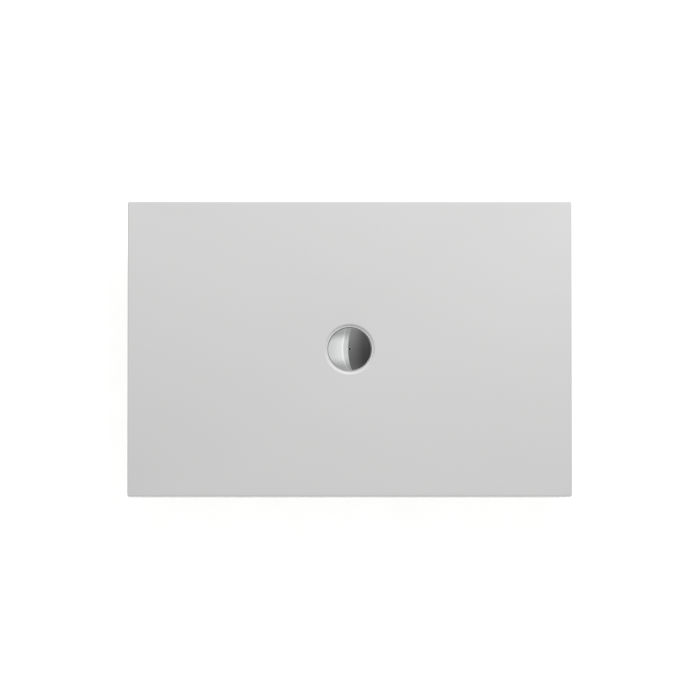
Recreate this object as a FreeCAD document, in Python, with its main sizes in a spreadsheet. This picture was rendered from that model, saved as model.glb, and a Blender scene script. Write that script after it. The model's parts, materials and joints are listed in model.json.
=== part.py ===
import FreeCAD, Part
import math
import os
import Sketcher

# A white super-flat shower tray on an adjustable steel foot frame, with its 90 mm waste trap.
# Millimetres. The origin is on the floor under the middle of the tray, +X runs along the long
# side, +Y to the rear long side and +Z up. The soles of the feet stand on Z = 0.

SIZES = {
    # tray shell
    "tray_long": 1200,
    "tray_wide": 800,
    "tray_top": 165,
    "tray_corner": 6,
    "apron_depth": 40,
    "shell_thick": 4,
    "edge_round": 2.5,
    "rim_land": 6,
    "dish_corner": 30,
    "dish_depth": 12,
    "lip_land": 0.5,
    "lip_round": 7.5,
    "lip_drop": 4,
    "ledge_round": 0.8,
    "drain_gap": 0.8,
    "recess_depth": 13,
    "recess_round": 3,
    "waste_hole": 46,
    # core and board
    "core_gap": 0.2,
    "core_hole_gap": 1.5,
    "inside_gap": 0.3,
    "board_thick": 12,
    "board_inset": 1,
    "cutout_long": 200,
    "cutout_wide": 240,
    "cutout_corner": 20,
    # rails, strips and what joins them
    "rail_end_inset": 50,
    "rail_side_inset": 150,
    "rail_wide": 30,
    "rail_high": 40,
    "rail_wall": 2,
    "rail_bend": 3,
    "cross_spread": 660,
    "strip_thick": 3,
    "screw_inner": 150,
    "screw_end_inset": 120,
    "cross_screw": 100,
    "rail_screw_radius": 2.5,
    "rail_screw_bite": 10,
    "rail_screw_head": 5,
    "rail_screw_head_high": 2.6,
    "rail_screw_tip": 5,
    "screw_gap": 0.25,
    "pilot_gap": 0.1,
    "pilot_spare": 0.5,
    "bracket_leg": 30,
    "bracket_thick": 3,
    "bracket_high": 30,
    "bracket_hole": 18,
    "bracket_screw_radius": 2.9,
    "bracket_screw_reach": 12,
    "bracket_screw_flats": 10,
    "bracket_screw_washer": 1,
    "bracket_screw_head": 3.5,
    "washer_brim": 1.5,
    "cap_flange": 2,
    "cap_plug": 12,
    "plug_gap": 0.2,
    # feet
    "foot_inset": 50,
    "foot_travel": 22,
    "spindle_spare": 2,
    "thread_radius": 6,
    "running_gap": 0.05,
    "rivet_wall": 1.9,
    "rivet_brim": 3.1,
    "rivet_brim_thick": 1.5,
    "rivet_high": 12,
    "rivet_bulge": 1.6,
    "thread_chamfer": 1.2,
    "nut_flats": 18,
    "nut_high": 8,
    "nut_chamfer": 1,
    "sole_radius": 30,
    "sole_thick": 3,
    "sole_rim": 2,
    "sole_wall": 1.8,
    "sole_round": 1,
    "pad_gap": 0.1,
    "pad_thick": 5,
    "pad_round": 1.5,
    "pad_floor": 7,
    "hub_wall": 3.7,
    "hub_lip": 9.7,
    "hub_round": 2,
    "hub_fillet": 4,
    "ankle_high": 4,
    "ankle_brim": 2,
    "ankle_chamfer": 1,
    "neck_inset": 1.5,
    "swivel_gap": 0.3,
    "hex_gap": 2,
    "hex_high": 8,
    "hex_flats": 14,
    # waste fitting above the shelf
    "seal_thick": 1.5,
    "seal_inset": 0.5,
    "flange_thick": 1.5,
    "flange_well": 10,
    "flange_wall": 1.2,
    "flange_gap": 1,
    "flange_round": 0.8,
    "collar_wall": 1.4,
    "collar_depth": 10,
    "collar_room": 2,
    "waste_screw_radius": 2,
    "waste_screw_head": 3.6,
    "waste_screw_room": 0.6,
    "waste_screw_head_high": 2.2,
    "waste_screw_tip": 0.8,
    "waste_screw_reach": 14,
    # cover
    "cover_overlap": 13,
    "cover_overhang": 2,
    "cover_drop": 6.5,
    "dome_radius": 280,
    "cover_skirt": 3.2,
    "cover_round": 2.6,
    "cover_thick": 1.2,
    "lift_hole": 3,
    "stem_radius": 6,
    "stem_bore": 3.3,
    "stem_reach": 22,
    "carrier_boss": 16,
    "carrier_plate": 2,
    "carrier_drop": 1.2,
    "carrier_inset": 9,
    "carrier_ring_wide": 5,
    "carrier_arm": 6,
    "leg_radius": 2.4,
    "stem_chamfer": 1,
    # trap
    "lower_seal_thick": 3,
    "pot_brim": 14,
    "pot_brim_thick": 4,
    "pot_wall": 2.5,
    "pot_depth": 103,
    "pot_floor": 3,
    "pot_round": 8,
    "boss_radius": 4.2,
    "boss_high": 16,
    "insert_gap": 0.3,
    "insert_wall": 2.7,
    "insert_brim": 3,
    "insert_brim_thick": 2,
    "insert_round": 0.6,
    "insert_foot_gap": 12,
    "groove_depth": 1.8,
    "groove_high": 2.4,
    "groove_drop": 7,
    "ring_section": 1,
    "insert_hub": 9.5,
    "insert_hub_high": 10,
    "insert_arm": 4,
    # outlet
    "outlet_drop": 38,
    "pipe_radius": 20,
    "pipe_wall": 1.8,
    "socket_wall": 3.7,
    "socket_long": 50,
    "socket_depth": 26,
    "spigot_gap": 2,
    "outlet_seal_thick": 4,
    "outlet_nut_wall": 5,
    "outlet_nut_long": 22,
    "outlet_nut_end": 4,
    "outlet_nut_grip": 2,
    "bend_turn": 35,
    "bend_tail": 40,
    "bend_collar": 3,
    "bend_collar_brim": 3,
    "bend_collar_gap": 1,
}

THIRDS = (0, 120, 240)
GRIPS = 10
QUARTER_TURNS = ((0, 1, 0), (90, 0, 1), (180, -1, 0), (270, 0, -1))
SIDES = (-1, 1)
FEET = {
    "front_left": (-1, -1),
    "front_middle": (0, -1),
    "front_right": (1, -1),
    "rear_left": (-1, 1),
    "rear_middle": (0, 1),
    "rear_right": (1, 1),
}
BEND_DEGREES = 45
LONG_SIDE_ARC = 25
SHORT_SIDE_ARC = 15
PAST = 1  # how far a cut runs beyond the face that it opens
LARGEST_NUMBER_OF_PARTS = 60

document = FreeCAD.newDocument("ShowerTray")


class Size:
    """A length worked out from the sheet: its value now, and the expression that gives it."""

    def __init__(self, value, text):
        self.value = float(value)
        self.text = text

    def __add__(self, other):
        other = as_size(other)
        return Size(self.value + other.value, f"({self.text} + {other.text})")

    def __sub__(self, other):
        other = as_size(other)
        return Size(self.value - other.value, f"({self.text} - {other.text})")

    def __mul__(self, other):
        other = as_size(other)
        return Size(self.value * other.value, f"({self.text} * {other.text})")

    def __truediv__(self, other):
        other = as_size(other)
        return Size(self.value / other.value, f"({self.text} / {other.text})")

    def __neg__(self):
        return self * -1

    def root(self):
        """The square root, for a length worked out from two squares."""
        return Size(math.sqrt(self.value), f"sqrt({self.text})")

    def __radd__(self, other):
        return as_size(other) + self

    def __rsub__(self, other):
        return as_size(other) - self

    def __rmul__(self, other):
        return as_size(other) * self


def as_size(number):
    """A plain number as a Size, and a Size as it is."""
    if isinstance(number, Size):
        return number
    return Size(number, f"({float(number):.12g})")


def fill_sheet():
    """Writes every driving size into the sheet, and returns them as Size objects by name."""
    sheet = document.addObject("Spreadsheet::Sheet", "Sizes")
    found = {}
    for row, (name, value) in enumerate(SIZES.items(), start=1):
        sheet.set(f"A{row}", name)
        sheet.set(f"B{row}", str(value))
        sheet.setAlias(f"B{row}", name)
        found[name] = Size(value, f"Sizes.{name}")
    document.recompute()
    return found


size = fill_sheet()

# Levels, from the rim down to the rails' undersides.
rim_level = size["tray_top"]
lip_level = rim_level - size["dish_depth"]
shelf_level = lip_level - size["recess_depth"]
rim_under = rim_level - size["shell_thick"]
lip_under = lip_level - size["shell_thick"]
shelf_under = shelf_level - size["shell_thick"]
apron_foot = rim_level - size["apron_depth"]
board_under = apron_foot + size["board_inset"]
board_top = board_under + size["board_thick"]
rail_top = board_under - size["strip_thick"]
rail_middle = rail_top - size["rail_high"] / 2
rail_under = rail_top - size["rail_high"]
rivet_under = rail_under - size["rivet_brim_thick"]

# The space inside the apron, and the rails that lie within it.
inside_long = size["tray_long"] - 2 * size["shell_thick"]
inside_wide = size["tray_wide"] - 2 * size["shell_thick"]
inside_corner = size["tray_corner"] - size["shell_thick"]
rail_long = size["tray_long"] - 2 * size["rail_end_inset"]
rail_y = size["tray_wide"] / 2 - size["rail_side_inset"]
foot_x = rail_long / 2 - size["foot_inset"]
cross_x = size["cross_spread"] / 2
cross_long = 2 * rail_y - size["rail_wide"]
joint_x = cross_x - size["rail_wide"] / 2
joint_y = cross_long / 2
screw_x = (size["screw_inner"], rail_long / 2 - size["screw_end_inset"])

# Feet: each fits the thread, and the spindle's top stays clear of the rail's upper wall.
spindle_top = rail_top - size["rail_wall"] - size["foot_travel"] - size["spindle_spare"]
nut_bore = size["thread_radius"] + size["running_gap"]
rivet_radius = nut_bore + size["rivet_wall"]
pad_plate = size["sole_radius"] - size["sole_wall"] - size["pad_gap"]
ankle_low = size["sole_thick"] + size["pad_floor"]
ankle_top = ankle_low + size["ankle_high"]
ankle_radius = size["thread_radius"] + size["ankle_brim"]
neck_radius = size["thread_radius"] - size["neck_inset"]
chamber_radius = ankle_radius + size["swivel_gap"]
chamber_top = ankle_top + size["swivel_gap"]
hub_radius = chamber_radius + size["hub_wall"]
hub_top = chamber_top + size["hub_lip"]
hex_low = hub_top + size["hex_gap"]
hex_top = hex_low + size["hex_high"]

# Waste: everything follows from the hole in the tray.
cover_radius = size["waste_hole"] + size["cover_overlap"]

# The dome's arc runs on smoothly into the round of its edge where it reaches this radius.
cover_shoulder = (
    size["dome_radius"]
    * (cover_radius - size["cover_round"])
    / (size["dome_radius"] - size["cover_round"])
)
recess_wall = cover_radius + size["drain_gap"]
recess_outside = recess_wall + size["shell_thick"]

# A narrow ledge lies round the cover. From it, two equal arcs swell up to the lip, each over half
# of the drop and half of the way.
ledge_level = lip_level - size["lip_drop"]
ledge_under = ledge_level - size["shell_thick"]
ledge_radius = recess_wall + size["ledge_round"]
lip_half = (
    size["lip_round"] * size["lip_drop"] - size["lip_drop"] * size["lip_drop"] / 4
).root()
swell_top = ledge_radius + 2 * lip_half
lip_radius = swell_top + size["lip_land"]
flange_radius = cover_radius - size["cover_overhang"]
flange_level = shelf_level + size["seal_thick"]
flange_top = flange_level + size["flange_thick"]
flange_floor = flange_top - size["flange_well"]
well_outside = size["waste_hole"] - size["flange_gap"]
well_inside = well_outside - size["flange_wall"]
waste_screw_circle = well_inside - size["waste_screw_head"] - size["waste_screw_room"]
boss_level = flange_floor - size["flange_thick"]
collar_outside = waste_screw_circle - size["boss_radius"] - size["collar_room"]
collar_radius = collar_outside - size["collar_wall"]
cover_edge = lip_level - size["cover_drop"]
dome_edge = cover_edge + size["cover_skirt"]

dome_rise = (size["dome_radius"] * size["dome_radius"] - cover_shoulder * cover_shoulder).root()
dome_middle = dome_edge - dome_rise

# Trap and outlet.
pot_top = shelf_under - size["lower_seal_thick"]
pot_foot = pot_top - size["pot_depth"]
pot_inside = size["waste_hole"] - size["seal_inset"]
pot_outside = pot_inside + size["pot_wall"]
pot_brim_radius = size["waste_hole"] + size["pot_brim"]
insert_foot = pot_foot + size["pot_floor"] + size["insert_foot_gap"]
insert_radius = collar_radius - size["insert_gap"]
insert_bore = insert_radius - size["insert_wall"]
insert_brim = collar_radius + size["insert_brim"]
groove_foot = flange_floor - size["groove_drop"]
groove_radius = insert_radius - size["groove_depth"]
outlet_level = pot_top - size["outlet_drop"]
pipe_bore = size["pipe_radius"] - size["pipe_wall"]
socket_radius = size["pipe_radius"] + size["insert_gap"]
socket_outside = socket_radius + size["socket_wall"]
socket_mouth = pot_outside + size["socket_long"]
nut_end = socket_mouth + size["outlet_seal_thick"] + size["outlet_nut_end"]


def dome_level(radius, inside=0):
    """The height of the cover's dome at a radius, on its outer face or a distance inside it."""
    reach = size["dome_radius"] - inside
    return dome_middle + (reach * reach - as_size(radius) * radius).root()


def bind(item, path, value):
    """Ties one property of an object to the sheet."""
    item.setExpression(path, as_size(value).text)


def new_body(label, x=0, y=0, z=0):
    """An empty body whose own origin stands at x, y, z."""
    body = document.addObject("PartDesign::Body", label)
    body.Label = label
    for axis, place in zip("xyz", (x, y, z)):
        bind(body, f"Placement.Base.{axis}", place)
    return body


def new_sketch(body, name, role="XY_Plane", offset=0):
    """A sketch on one of the body's own origin planes, offset along the plane's normal."""
    sketch = body.newObject("Sketcher::SketchObject", name)
    plane = next(item for item in body.Origin.OriginFeatures if item.Role == role)
    sketch.AttachmentSupport = [(plane, "")]
    sketch.MapMode = "FlatFace"
    bind(sketch, "AttachmentOffset.Base.z", offset)
    return sketch


def hold(sketch, kind, *where_and_value):
    """Adds one dimension to a sketch and ties it to the sheet."""
    *where, value = where_and_value
    value = as_size(value)
    number = sketch.addConstraint(Sketcher.Constraint(kind, *where, value.value))
    bind(sketch, f"Constraints[{number}]", value)


def hold_point(sketch, geometry, end, x, y):
    """Fixes one point of a sketch's geometry at x, y from the sketch's origin."""
    hold(sketch, "DistanceX", -1, 1, geometry, end, x)
    hold(sketch, "DistanceY", -1, 1, geometry, end, y)


def arc_between(start, end, radius, turn):
    """The short arc from start to end, turning left for turn 1 and right for turn -1."""
    run = end - start
    reach = math.sqrt(max(radius**2 - (run.Length / 2) ** 2, 0))
    left = FreeCAD.Vector(-run.y, run.x, 0).normalize()
    centre = (start + end) / 2 + left * reach * turn
    first, last = (start, end) if turn > 0 else (end, start)
    angles = [math.atan2(point.y - centre.y, point.x - centre.x) for point in (first, last)]
    circle = Part.Circle(centre, FreeCAD.Vector(0, 0, 1), radius)
    return Part.ArcOfCircle(circle, *angles)


def draw_path(sketch, corners, closed=True):
    """Draws an outline through corners, each (x, y) at the end of a straight run, or
    (x, y, radius, turn) at the end of an arc. An open path starts at its first corner."""
    vectors = [FreeCAD.Vector(as_size(c[0]).value, as_size(c[1]).value, 0) for c in corners]
    first = 0 if closed else 1
    ends = []
    for step in range(first, len(corners)):
        start, end = vectors[step - 1], vectors[step]
        if len(corners[step]) == 2:
            number = sketch.addGeometry(Part.LineSegment(start, end), False)
            ends.append((number, 1, 2))
            continue
        radius, turn = as_size(corners[step][2]), corners[step][3]
        number = sketch.addGeometry(arc_between(start, end, radius.value, turn), False)
        hold(sketch, "Radius", number, radius)
        ends.append((number, 1, 2) if turn > 0 else (number, 2, 1))
    for step, (number, start, end) in enumerate(ends):
        if closed or step:
            before, _, before_end = ends[step - 1]
            sketch.addConstraint(Sketcher.Constraint("Coincident", before, before_end, number, start))
        x, y = corners[step + first][:2]
        hold_point(sketch, number, end, x, y)
    if not closed:
        hold_point(sketch, ends[0][0], ends[0][1], *corners[0][:2])


def draw_circle(sketch, radius, x=0, y=0):
    """Draws one full circle."""
    radius, x, y = as_size(radius), as_size(x), as_size(y)
    centre = FreeCAD.Vector(x.value, y.value, 0)
    number = sketch.addGeometry(Part.Circle(centre, FreeCAD.Vector(0, 0, 1), radius.value), False)
    hold(sketch, "Radius", number, radius)
    hold_point(sketch, number, 3, x, y)


def rounded_rectangle(long, wide, corner):
    """The eight corners of a rectangle with round corners, from the end of its front side."""
    a, b, r = long / 2, wide / 2, corner
    return [
        (a - r, -b),
        (a, r - b, r, 1),
        (a, b - r),
        (a - r, b, r, 1),
        (r - a, b),
        (-a, b - r, r, 1),
        (-a, r - b),
        (r - a, -b, r, 1),
    ]


def split_circle(radius):
    """A circle as eight arcs that answer the eight sides of a rounded rectangle."""
    turns = []
    for middle in (-90, 0, 90, 180):
        half = SHORT_SIDE_ARC if middle in (0, 180) else LONG_SIDE_ARC
        turns += [middle - half, middle + half]
    turns = turns[1:] + turns[:1]
    return [
        (radius * math.cos(math.radians(t)), radius * math.sin(math.radians(t)), radius, 1)
        for t in turns
    ]


def hexagon(flats):
    """The six corners of a hexagon of this size across its flats."""
    reach = flats / (2 * math.cos(math.radians(30)))
    angles = [math.radians(60 * step) for step in range(6)]
    return [(reach * math.cos(a), reach * math.sin(a)) for a in angles]


def add(body, kind, name, sketch, grows=True, **settings):
    """Adds one feature to a body, and stops if it didn't change the volume the right way."""
    document.recompute()
    before = body.Shape.Volume if body.Tip else 0.0
    feature = body.newObject(f"PartDesign::{kind}", name)
    feature.Profile = sketch
    for setting, value in settings.items():
        if isinstance(value, Size):
            bind(feature, setting, value)
        else:
            setattr(feature, setting, value)
    document.recompute()
    after = body.Shape.Volume
    if (after > before) != grows or after == before:
        raise RuntimeError(f"{body.Label} {name}: volume went from {before:.1f} to {after:.1f}")
    return feature


def pad(body, name, sketch, height, **settings):
    return add(body, "Pad", name, sketch, Length=as_size(height), **settings)


def pocket(body, name, sketch, depth, **settings):
    return add(body, "Pocket", name, sketch, grows=False, Length=as_size(depth), **settings)


def turn(body, name, sketch, kind="Revolution"):
    """Turns a sketch a full circle about its own upright axis."""
    axis = (sketch, ["V_Axis"])
    return add(body, kind, name, sketch, grows=kind == "Revolution", ReferenceAxis=axis, Angle=360)


def turned_body(label, outline, x=0, y=0, z=0):
    """A body made by turning one outline of (radius, height) corners about its Z axis."""
    body = new_body(label, x, y, z)
    sketch = new_sketch(body, f"{label}_outline", "XZ_Plane")
    draw_path(sketch, outline)
    turn(body, f"{label}_turned", sketch)
    return body


def repeat_round(body, name, features, count, axis="Z_Axis"):
    """Repeats features evenly round one of the body's own axes."""
    pattern = body.newObject("PartDesign::PolarPattern", name)
    line = next(item for item in body.Origin.OriginFeatures if item.Role == axis)
    pattern.Originals = features
    pattern.Axis = (line, [""])
    pattern.Angle = 360
    pattern.Occurrences = count
    body.Tip = pattern
    document.recompute()


def round_edges(body, name, chosen, radius):
    """Rounds the tip's edges for which chosen(edge) is true."""
    tip = body.Tip
    names = [f"Edge{n}" for n, edge in enumerate(tip.Shape.Edges, start=1) if chosen(edge)]
    if not names:
        raise RuntimeError(f"{body.Label} {name}: no edge to round")
    fillet = body.newObject("PartDesign::Fillet", name)
    fillet.Base = (tip, names)
    bind(fillet, "Radius", radius)
    document.recompute()


def group(label, master, places):
    """Separate solids that are copies of one master, at places of (x, y, z, rotation)."""
    copies = []
    for number, (x, y, z, rotation) in enumerate(places, start=1):
        copy = document.addObject("App::Link", f"{label}_{number}")
        copy.LinkedObject = master
        copy.Placement = FreeCAD.Placement(FreeCAD.Vector(), rotation)
        for axis, place in zip("xyz", (x, y, z)):
            bind(copy, f"Placement.Base.{axis}", place)
        copies.append(copy)
    whole = document.addObject("Part::Compound", label)
    whole.Label = label
    whole.Links = copies
    return whole


UPRIGHT = FreeCAD.Rotation()
UPSIDE_DOWN = FreeCAD.Rotation(FreeCAD.Vector(1, 0, 0), 180)
POINTING_TO_Y = FreeCAD.Rotation(FreeCAD.Vector(1, 0, 0), 90)


def turned_about_z(degrees):
    return FreeCAD.Rotation(FreeCAD.Vector(0, 0, 1), degrees)


# ---------------------------------------------------------------- tray


def draw_dish_rim(body, name, level):
    """The rounded rectangle where the fall to the waste begins."""
    sketch = new_sketch(body, name, offset=level)
    long = size["tray_long"] - 2 * size["rim_land"]
    wide = size["tray_wide"] - 2 * size["rim_land"]
    draw_path(sketch, rounded_rectangle(long, wide, size["dish_corner"]))
    return sketch


def draw_dish_lip(body, name, level):
    """The circle round the recess where the fall to the waste ends."""
    sketch = new_sketch(body, name, offset=level)
    draw_path(sketch, split_circle(lip_radius))
    return sketch


def loft_dish(body, name, kind, top_level, low_level):
    """Adds or cuts the shallow dish between a rim level and a lip level."""
    rim = draw_dish_rim(body, f"{name}_rim", top_level)
    lip = draw_dish_lip(body, f"{name}_lip", low_level)
    grows = kind == "AdditiveLoft"
    add(body, kind, name, rim, grows=grows, Sections=[lip], Ruled=True)


def tray_shell():
    """The shell: a flat-edged dish that falls to the waste recess, with an apron turned down."""
    body = new_body("tray_shell")
    outline = new_sketch(body, "tray_outline", offset=apron_foot)
    draw_path(outline, rounded_rectangle(size["tray_long"], size["tray_wide"], size["tray_corner"]))
    pad(body, "tray_block", outline, size["apron_depth"])
    top = rim_level.value
    round_edges(body, "edge_round", lambda edge: edge.BoundBox.ZMin > top - PAST, size["edge_round"])

    inside = new_sketch(body, "tray_inside", offset=apron_foot)
    draw_path(inside, rounded_rectangle(inside_long, inside_wide, inside_corner))
    pocket(body, "tray_hollow", inside, size["apron_depth"] - size["shell_thick"], Reversed=True)
    loft_dish(body, "dish_underside", "AdditiveLoft", rim_under, lip_under)

    below = new_sketch(body, "recess_underside", "XZ_Plane")
    outer_round = size["recess_round"] + size["shell_thick"]
    draw_path(
        below,
        [
            (0, lip_under),
            (0, shelf_under),
            (recess_outside - outer_round, shelf_under),
            (recess_outside, shelf_under + outer_round, outer_round, 1),
            (recess_outside, ledge_under),
            (lip_radius, lip_under),
        ],
    )
    turn(body, "recess_outside", below)
    loft_dish(body, "dish", "SubtractiveLoft", rim_level, lip_level)

    recess = new_sketch(body, "recess_outline", "XZ_Plane")
    wall = recess_wall
    draw_path(
        recess,
        [
            (0, lip_level + PAST),
            (0, shelf_under - PAST),
            (size["waste_hole"], shelf_under - PAST),
            (size["waste_hole"], shelf_level),
            (wall - size["recess_round"], shelf_level),
            (wall, shelf_level + size["recess_round"], size["recess_round"], 1),
            (wall, ledge_level - size["ledge_round"]),
            (ledge_radius, ledge_level, size["ledge_round"], -1),
            (ledge_radius + lip_half, ledge_level + size["lip_drop"] / 2, size["lip_round"], 1),
            (swell_top, lip_level, size["lip_round"], -1),
            (swell_top, lip_level + PAST),
        ],
    )
    turn(body, "recess", recess, "Groove")
    return body


def foam_core():
    """The hard foam that fills the space between the dished shell and the flat board."""
    body = new_body("foam_core")
    gap = size["core_gap"]
    outline = new_sketch(body, "core_outline", offset=board_top)
    fit = 2 * size["inside_gap"]
    draw_path(outline, rounded_rectangle(inside_long - fit, inside_wide - fit, inside_corner))
    pad(body, "core_block", outline, rim_under - gap - board_top)
    loft_dish(body, "core_dish", "SubtractiveLoft", rim_under - gap, lip_under - gap)
    hole = new_sketch(body, "core_hole", offset=rim_under)
    draw_circle(hole, lip_radius + size["core_hole_gap"])
    pocket(body, "core_opening", hole, rim_under - board_top + PAST)
    return body


def screws_along():
    """Where a long rail is screwed to the board, along X."""
    return [end * x for x in screw_x for end in SIDES]


def screw_places():
    """Where the rails are screwed to the board: (x, y)."""
    places = [(x, side * rail_y) for side in SIDES for x in screws_along()]
    return places + [(side * cross_x, end * size["cross_screw"]) for side in SIDES for end in SIDES]


def base_board():
    """The flat board under the core, open round the trap, with pilot holes for the rail screws."""
    body = new_body("base_board")
    outline = new_sketch(body, "board_outline", offset=board_under)
    fit = 2 * size["inside_gap"]
    draw_path(outline, rounded_rectangle(inside_long - fit, inside_wide - fit, inside_corner))
    cutout = rounded_rectangle(size["cutout_long"], size["cutout_wide"], size["cutout_corner"])
    draw_path(outline, cutout)
    pad(body, "board_block", outline, size["board_thick"])
    pilots = new_sketch(body, "board_pilots", offset=board_under)
    for x, y in screw_places():
        draw_circle(pilots, size["rail_screw_radius"] + size["pilot_gap"], x, y)
    depth = size["rail_screw_bite"] + size["pilot_spare"]
    pocket(body, "board_pilot_holes", pilots, depth, Reversed=True)
    return body


# ---------------------------------------------------------------- frame


def support_strip(label, middle, long, wide, holes):
    """A strip of rubber foam between a rail and the board, with holes for the rail screws."""
    x, y = middle
    body = new_body(label, x, y, rail_top)
    outline = new_sketch(body, f"{label}_outline")
    a, b = long / 2, wide / 2
    draw_path(outline, [(a, -b), (a, b), (-a, b), (-a, -b)])
    for hole_x, hole_y in holes:
        draw_circle(outline, size["rail_screw_radius"] + size["screw_gap"], hole_x, hole_y)
    pad(body, f"{label}_strip", outline, size["strip_thick"])
    return body


def draw_tube(sketch, across, up):
    """A square tube's section, its outer and inner outlines."""
    wall = size["rail_wall"]
    draw_path(sketch, rounded_rectangle(across, up, size["rail_bend"]))
    inner = rounded_rectangle(across - 2 * wall, up - 2 * wall, size["rail_bend"] - wall)
    draw_path(sketch, inner)


def drill_upright(body, name, holes, radius):
    """Drills holes through a rail's top and bottom walls."""
    sketch = new_sketch(body, name, offset=size["rail_high"] / 2)
    for x, y in holes:
        draw_circle(sketch, radius, x, y)
    pocket(body, f"{name}_drilled", sketch, size["rail_high"] + PAST)


def long_rail(label, side):
    """A square tube along X that carries three feet, on the front or the rear side."""
    body = new_body(label, y=side * rail_y, z=rail_middle)
    section = new_sketch(body, f"{label}_section", "YZ_Plane")
    draw_tube(section, size["rail_wide"], size["rail_high"])
    pad(body, f"{label}_tube", section, rail_long, Midplane=True)
    screw_hole = size["rail_screw_radius"] + size["screw_gap"]
    drill_upright(body, f"{label}_screw_holes", [(x, 0) for x in screws_along()], screw_hole)

    feet = new_sketch(body, f"{label}_foot_holes", offset=-size["rail_high"] / 2)
    for step in (-1, 0, 1):
        draw_circle(feet, rivet_radius + size["running_gap"], step * foot_x)
    pocket(body, f"{label}_foot_holes_drilled", feet, size["rail_wall"] + PAST, Reversed=True)

    # the XZ plane's normal points to -Y, so the inner wall lies at +side along it
    inner = new_sketch(body, f"{label}_side_holes", "XZ_Plane", side * size["rail_wide"] / 2)
    pilot = size["bracket_screw_radius"] + size["pilot_gap"]
    for end in SIDES:
        draw_circle(inner, pilot, end * (joint_x - size["bracket_hole"]))
    pocket(body, f"{label}_side_holes_drilled", inner, size["rail_wall"] + PAST, Reversed=side < 0)
    return body


def cross_rail(label, side):
    """A square tube along Y between the two long rails, on the left or the right side."""
    body = new_body(label, x=side * cross_x, z=rail_middle)
    section = new_sketch(body, f"{label}_section", "XZ_Plane")
    draw_tube(section, size["rail_wide"], size["rail_high"])
    pad(body, f"{label}_tube", section, cross_long, Midplane=True)
    screw_hole = size["rail_screw_radius"] + size["screw_gap"]
    holes = [(0, end * size["cross_screw"]) for end in SIDES]
    drill_upright(body, f"{label}_screw_holes", holes, screw_hole)

    inner = new_sketch(body, f"{label}_side_holes", "YZ_Plane", -side * size["rail_wide"] / 2)
    pilot = size["bracket_screw_radius"] + size["pilot_gap"]
    for end in SIDES:
        draw_circle(inner, pilot, end * (joint_y - size["bracket_hole"]))
    pocket(body, f"{label}_side_holes_drilled", inner, size["rail_wall"] + PAST, Reversed=side > 0)
    return body


def bracket_master():
    """An angle bracket whose corner is at its origin, with legs along -X and -Y."""
    body = new_body("bracket_master")
    leg, thick, high = (size[name] for name in ("bracket_leg", "bracket_thick", "bracket_high"))
    outline = new_sketch(body, "bracket_outline", offset=-high / 2)
    draw_path(
        outline,
        [(0, 0), (-leg, 0), (-leg, -thick), (-thick, -thick), (-thick, -leg), (0, -leg)],
    )
    pad(body, "bracket_angle", outline, high)
    radius = size["bracket_screw_radius"] + size["screw_gap"]
    for role, name in (("XZ_Plane", "rear"), ("YZ_Plane", "side")):
        holes = new_sketch(body, f"bracket_{name}_hole", role)
        draw_circle(holes, radius, -size["bracket_hole"])
        pocket(body, f"bracket_{name}_drilled", holes, thick + PAST, Reversed=role == "XZ_Plane")
    return body


def corner_brackets(master):
    places = []
    for degrees, cosine, sine in QUARTER_TURNS:
        x, y = corner_of(cosine, sine)
        places.append((x, y, rail_middle, turned_about_z(degrees)))
    return group("corner_brackets", master, places)


def corner_of(cosine, sine):
    """The inner corner of a cross rail and a long rail that a quarter turn leads to."""
    across = cosine - sine
    along = cosine + sine
    return across * joint_x, along * joint_y


def bracket_screw_master():
    """A hexagon-head sheet metal screw with a washer face, its shank pointing to -Z."""
    body = new_body("bracket_screw_master")
    shank = size["bracket_screw_radius"]
    reach = size["bracket_screw_reach"]
    thick = size["bracket_screw_washer"]
    washer = size["bracket_screw_flats"] / 2 + size["washer_brim"]
    outline = new_sketch(body, "bracket_screw_outline", "XZ_Plane")
    draw_path(
        outline,
        [
            (0, thick),
            (0, -reach),
            (shank / 2, -reach),
            (shank, shank / 2 - reach),
            (shank, 0),
            (washer, 0),
            (washer, thick),
        ],
    )
    turn(body, "bracket_screw_turned", outline)
    head = new_sketch(body, "bracket_screw_head", offset=thick)
    draw_path(head, hexagon(size["bracket_screw_flats"]))
    pad(body, "bracket_screw_hexagon", head, size["bracket_screw_head"])
    return body


def bracket_screws(master):
    """Two screws through each bracket, one into the long rail and one into the cross rail."""
    hole, thick = size["bracket_hole"], size["bracket_thick"]
    places = []
    for degrees, cosine, sine in QUARTER_TURNS:
        corner_x, corner_y = corner_of(cosine, sine)
        for x, y, extra in ((-hole, -thick, 0), (-thick, -hole, -90)):
            place_x = corner_x + cosine * x - sine * y
            place_y = corner_y + sine * x + cosine * y
            rotation = turned_about_z(degrees + extra).multiply(POINTING_TO_Y)
            places.append((place_x, place_y, rail_middle, rotation))
    return group("bracket_screws", master, places)


def pan_head_screw(name, radius, reach, head, point, tip):
    """A screw with a domed head above its origin and a shank that narrows to a point below."""
    high = size[f"{name}_head_high"]
    outline = [
        (0, high),
        (0, -reach),
        (point, -reach),
        (radius, tip - reach),
        (radius, 0),
        (head, 0),
        (head, high / 3),
        (head - high * 2 / 3, high, high, 1),
    ]
    return turned_body(f"{name}_master", outline)


def rail_screw_master():
    """A pan-head wood screw, its shank pointing to -Z."""
    radius, head = size["rail_screw_radius"], size["rail_screw_head"]
    reach = size["rail_high"] + size["strip_thick"] + size["rail_screw_bite"]
    return pan_head_screw("rail_screw", radius, reach, head, radius / 5, size["rail_screw_tip"])


def rail_screws(master):
    places = [(x, y, rail_under, UPSIDE_DOWN) for x, y in screw_places()]
    return group("rail_screws", master, places)


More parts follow.
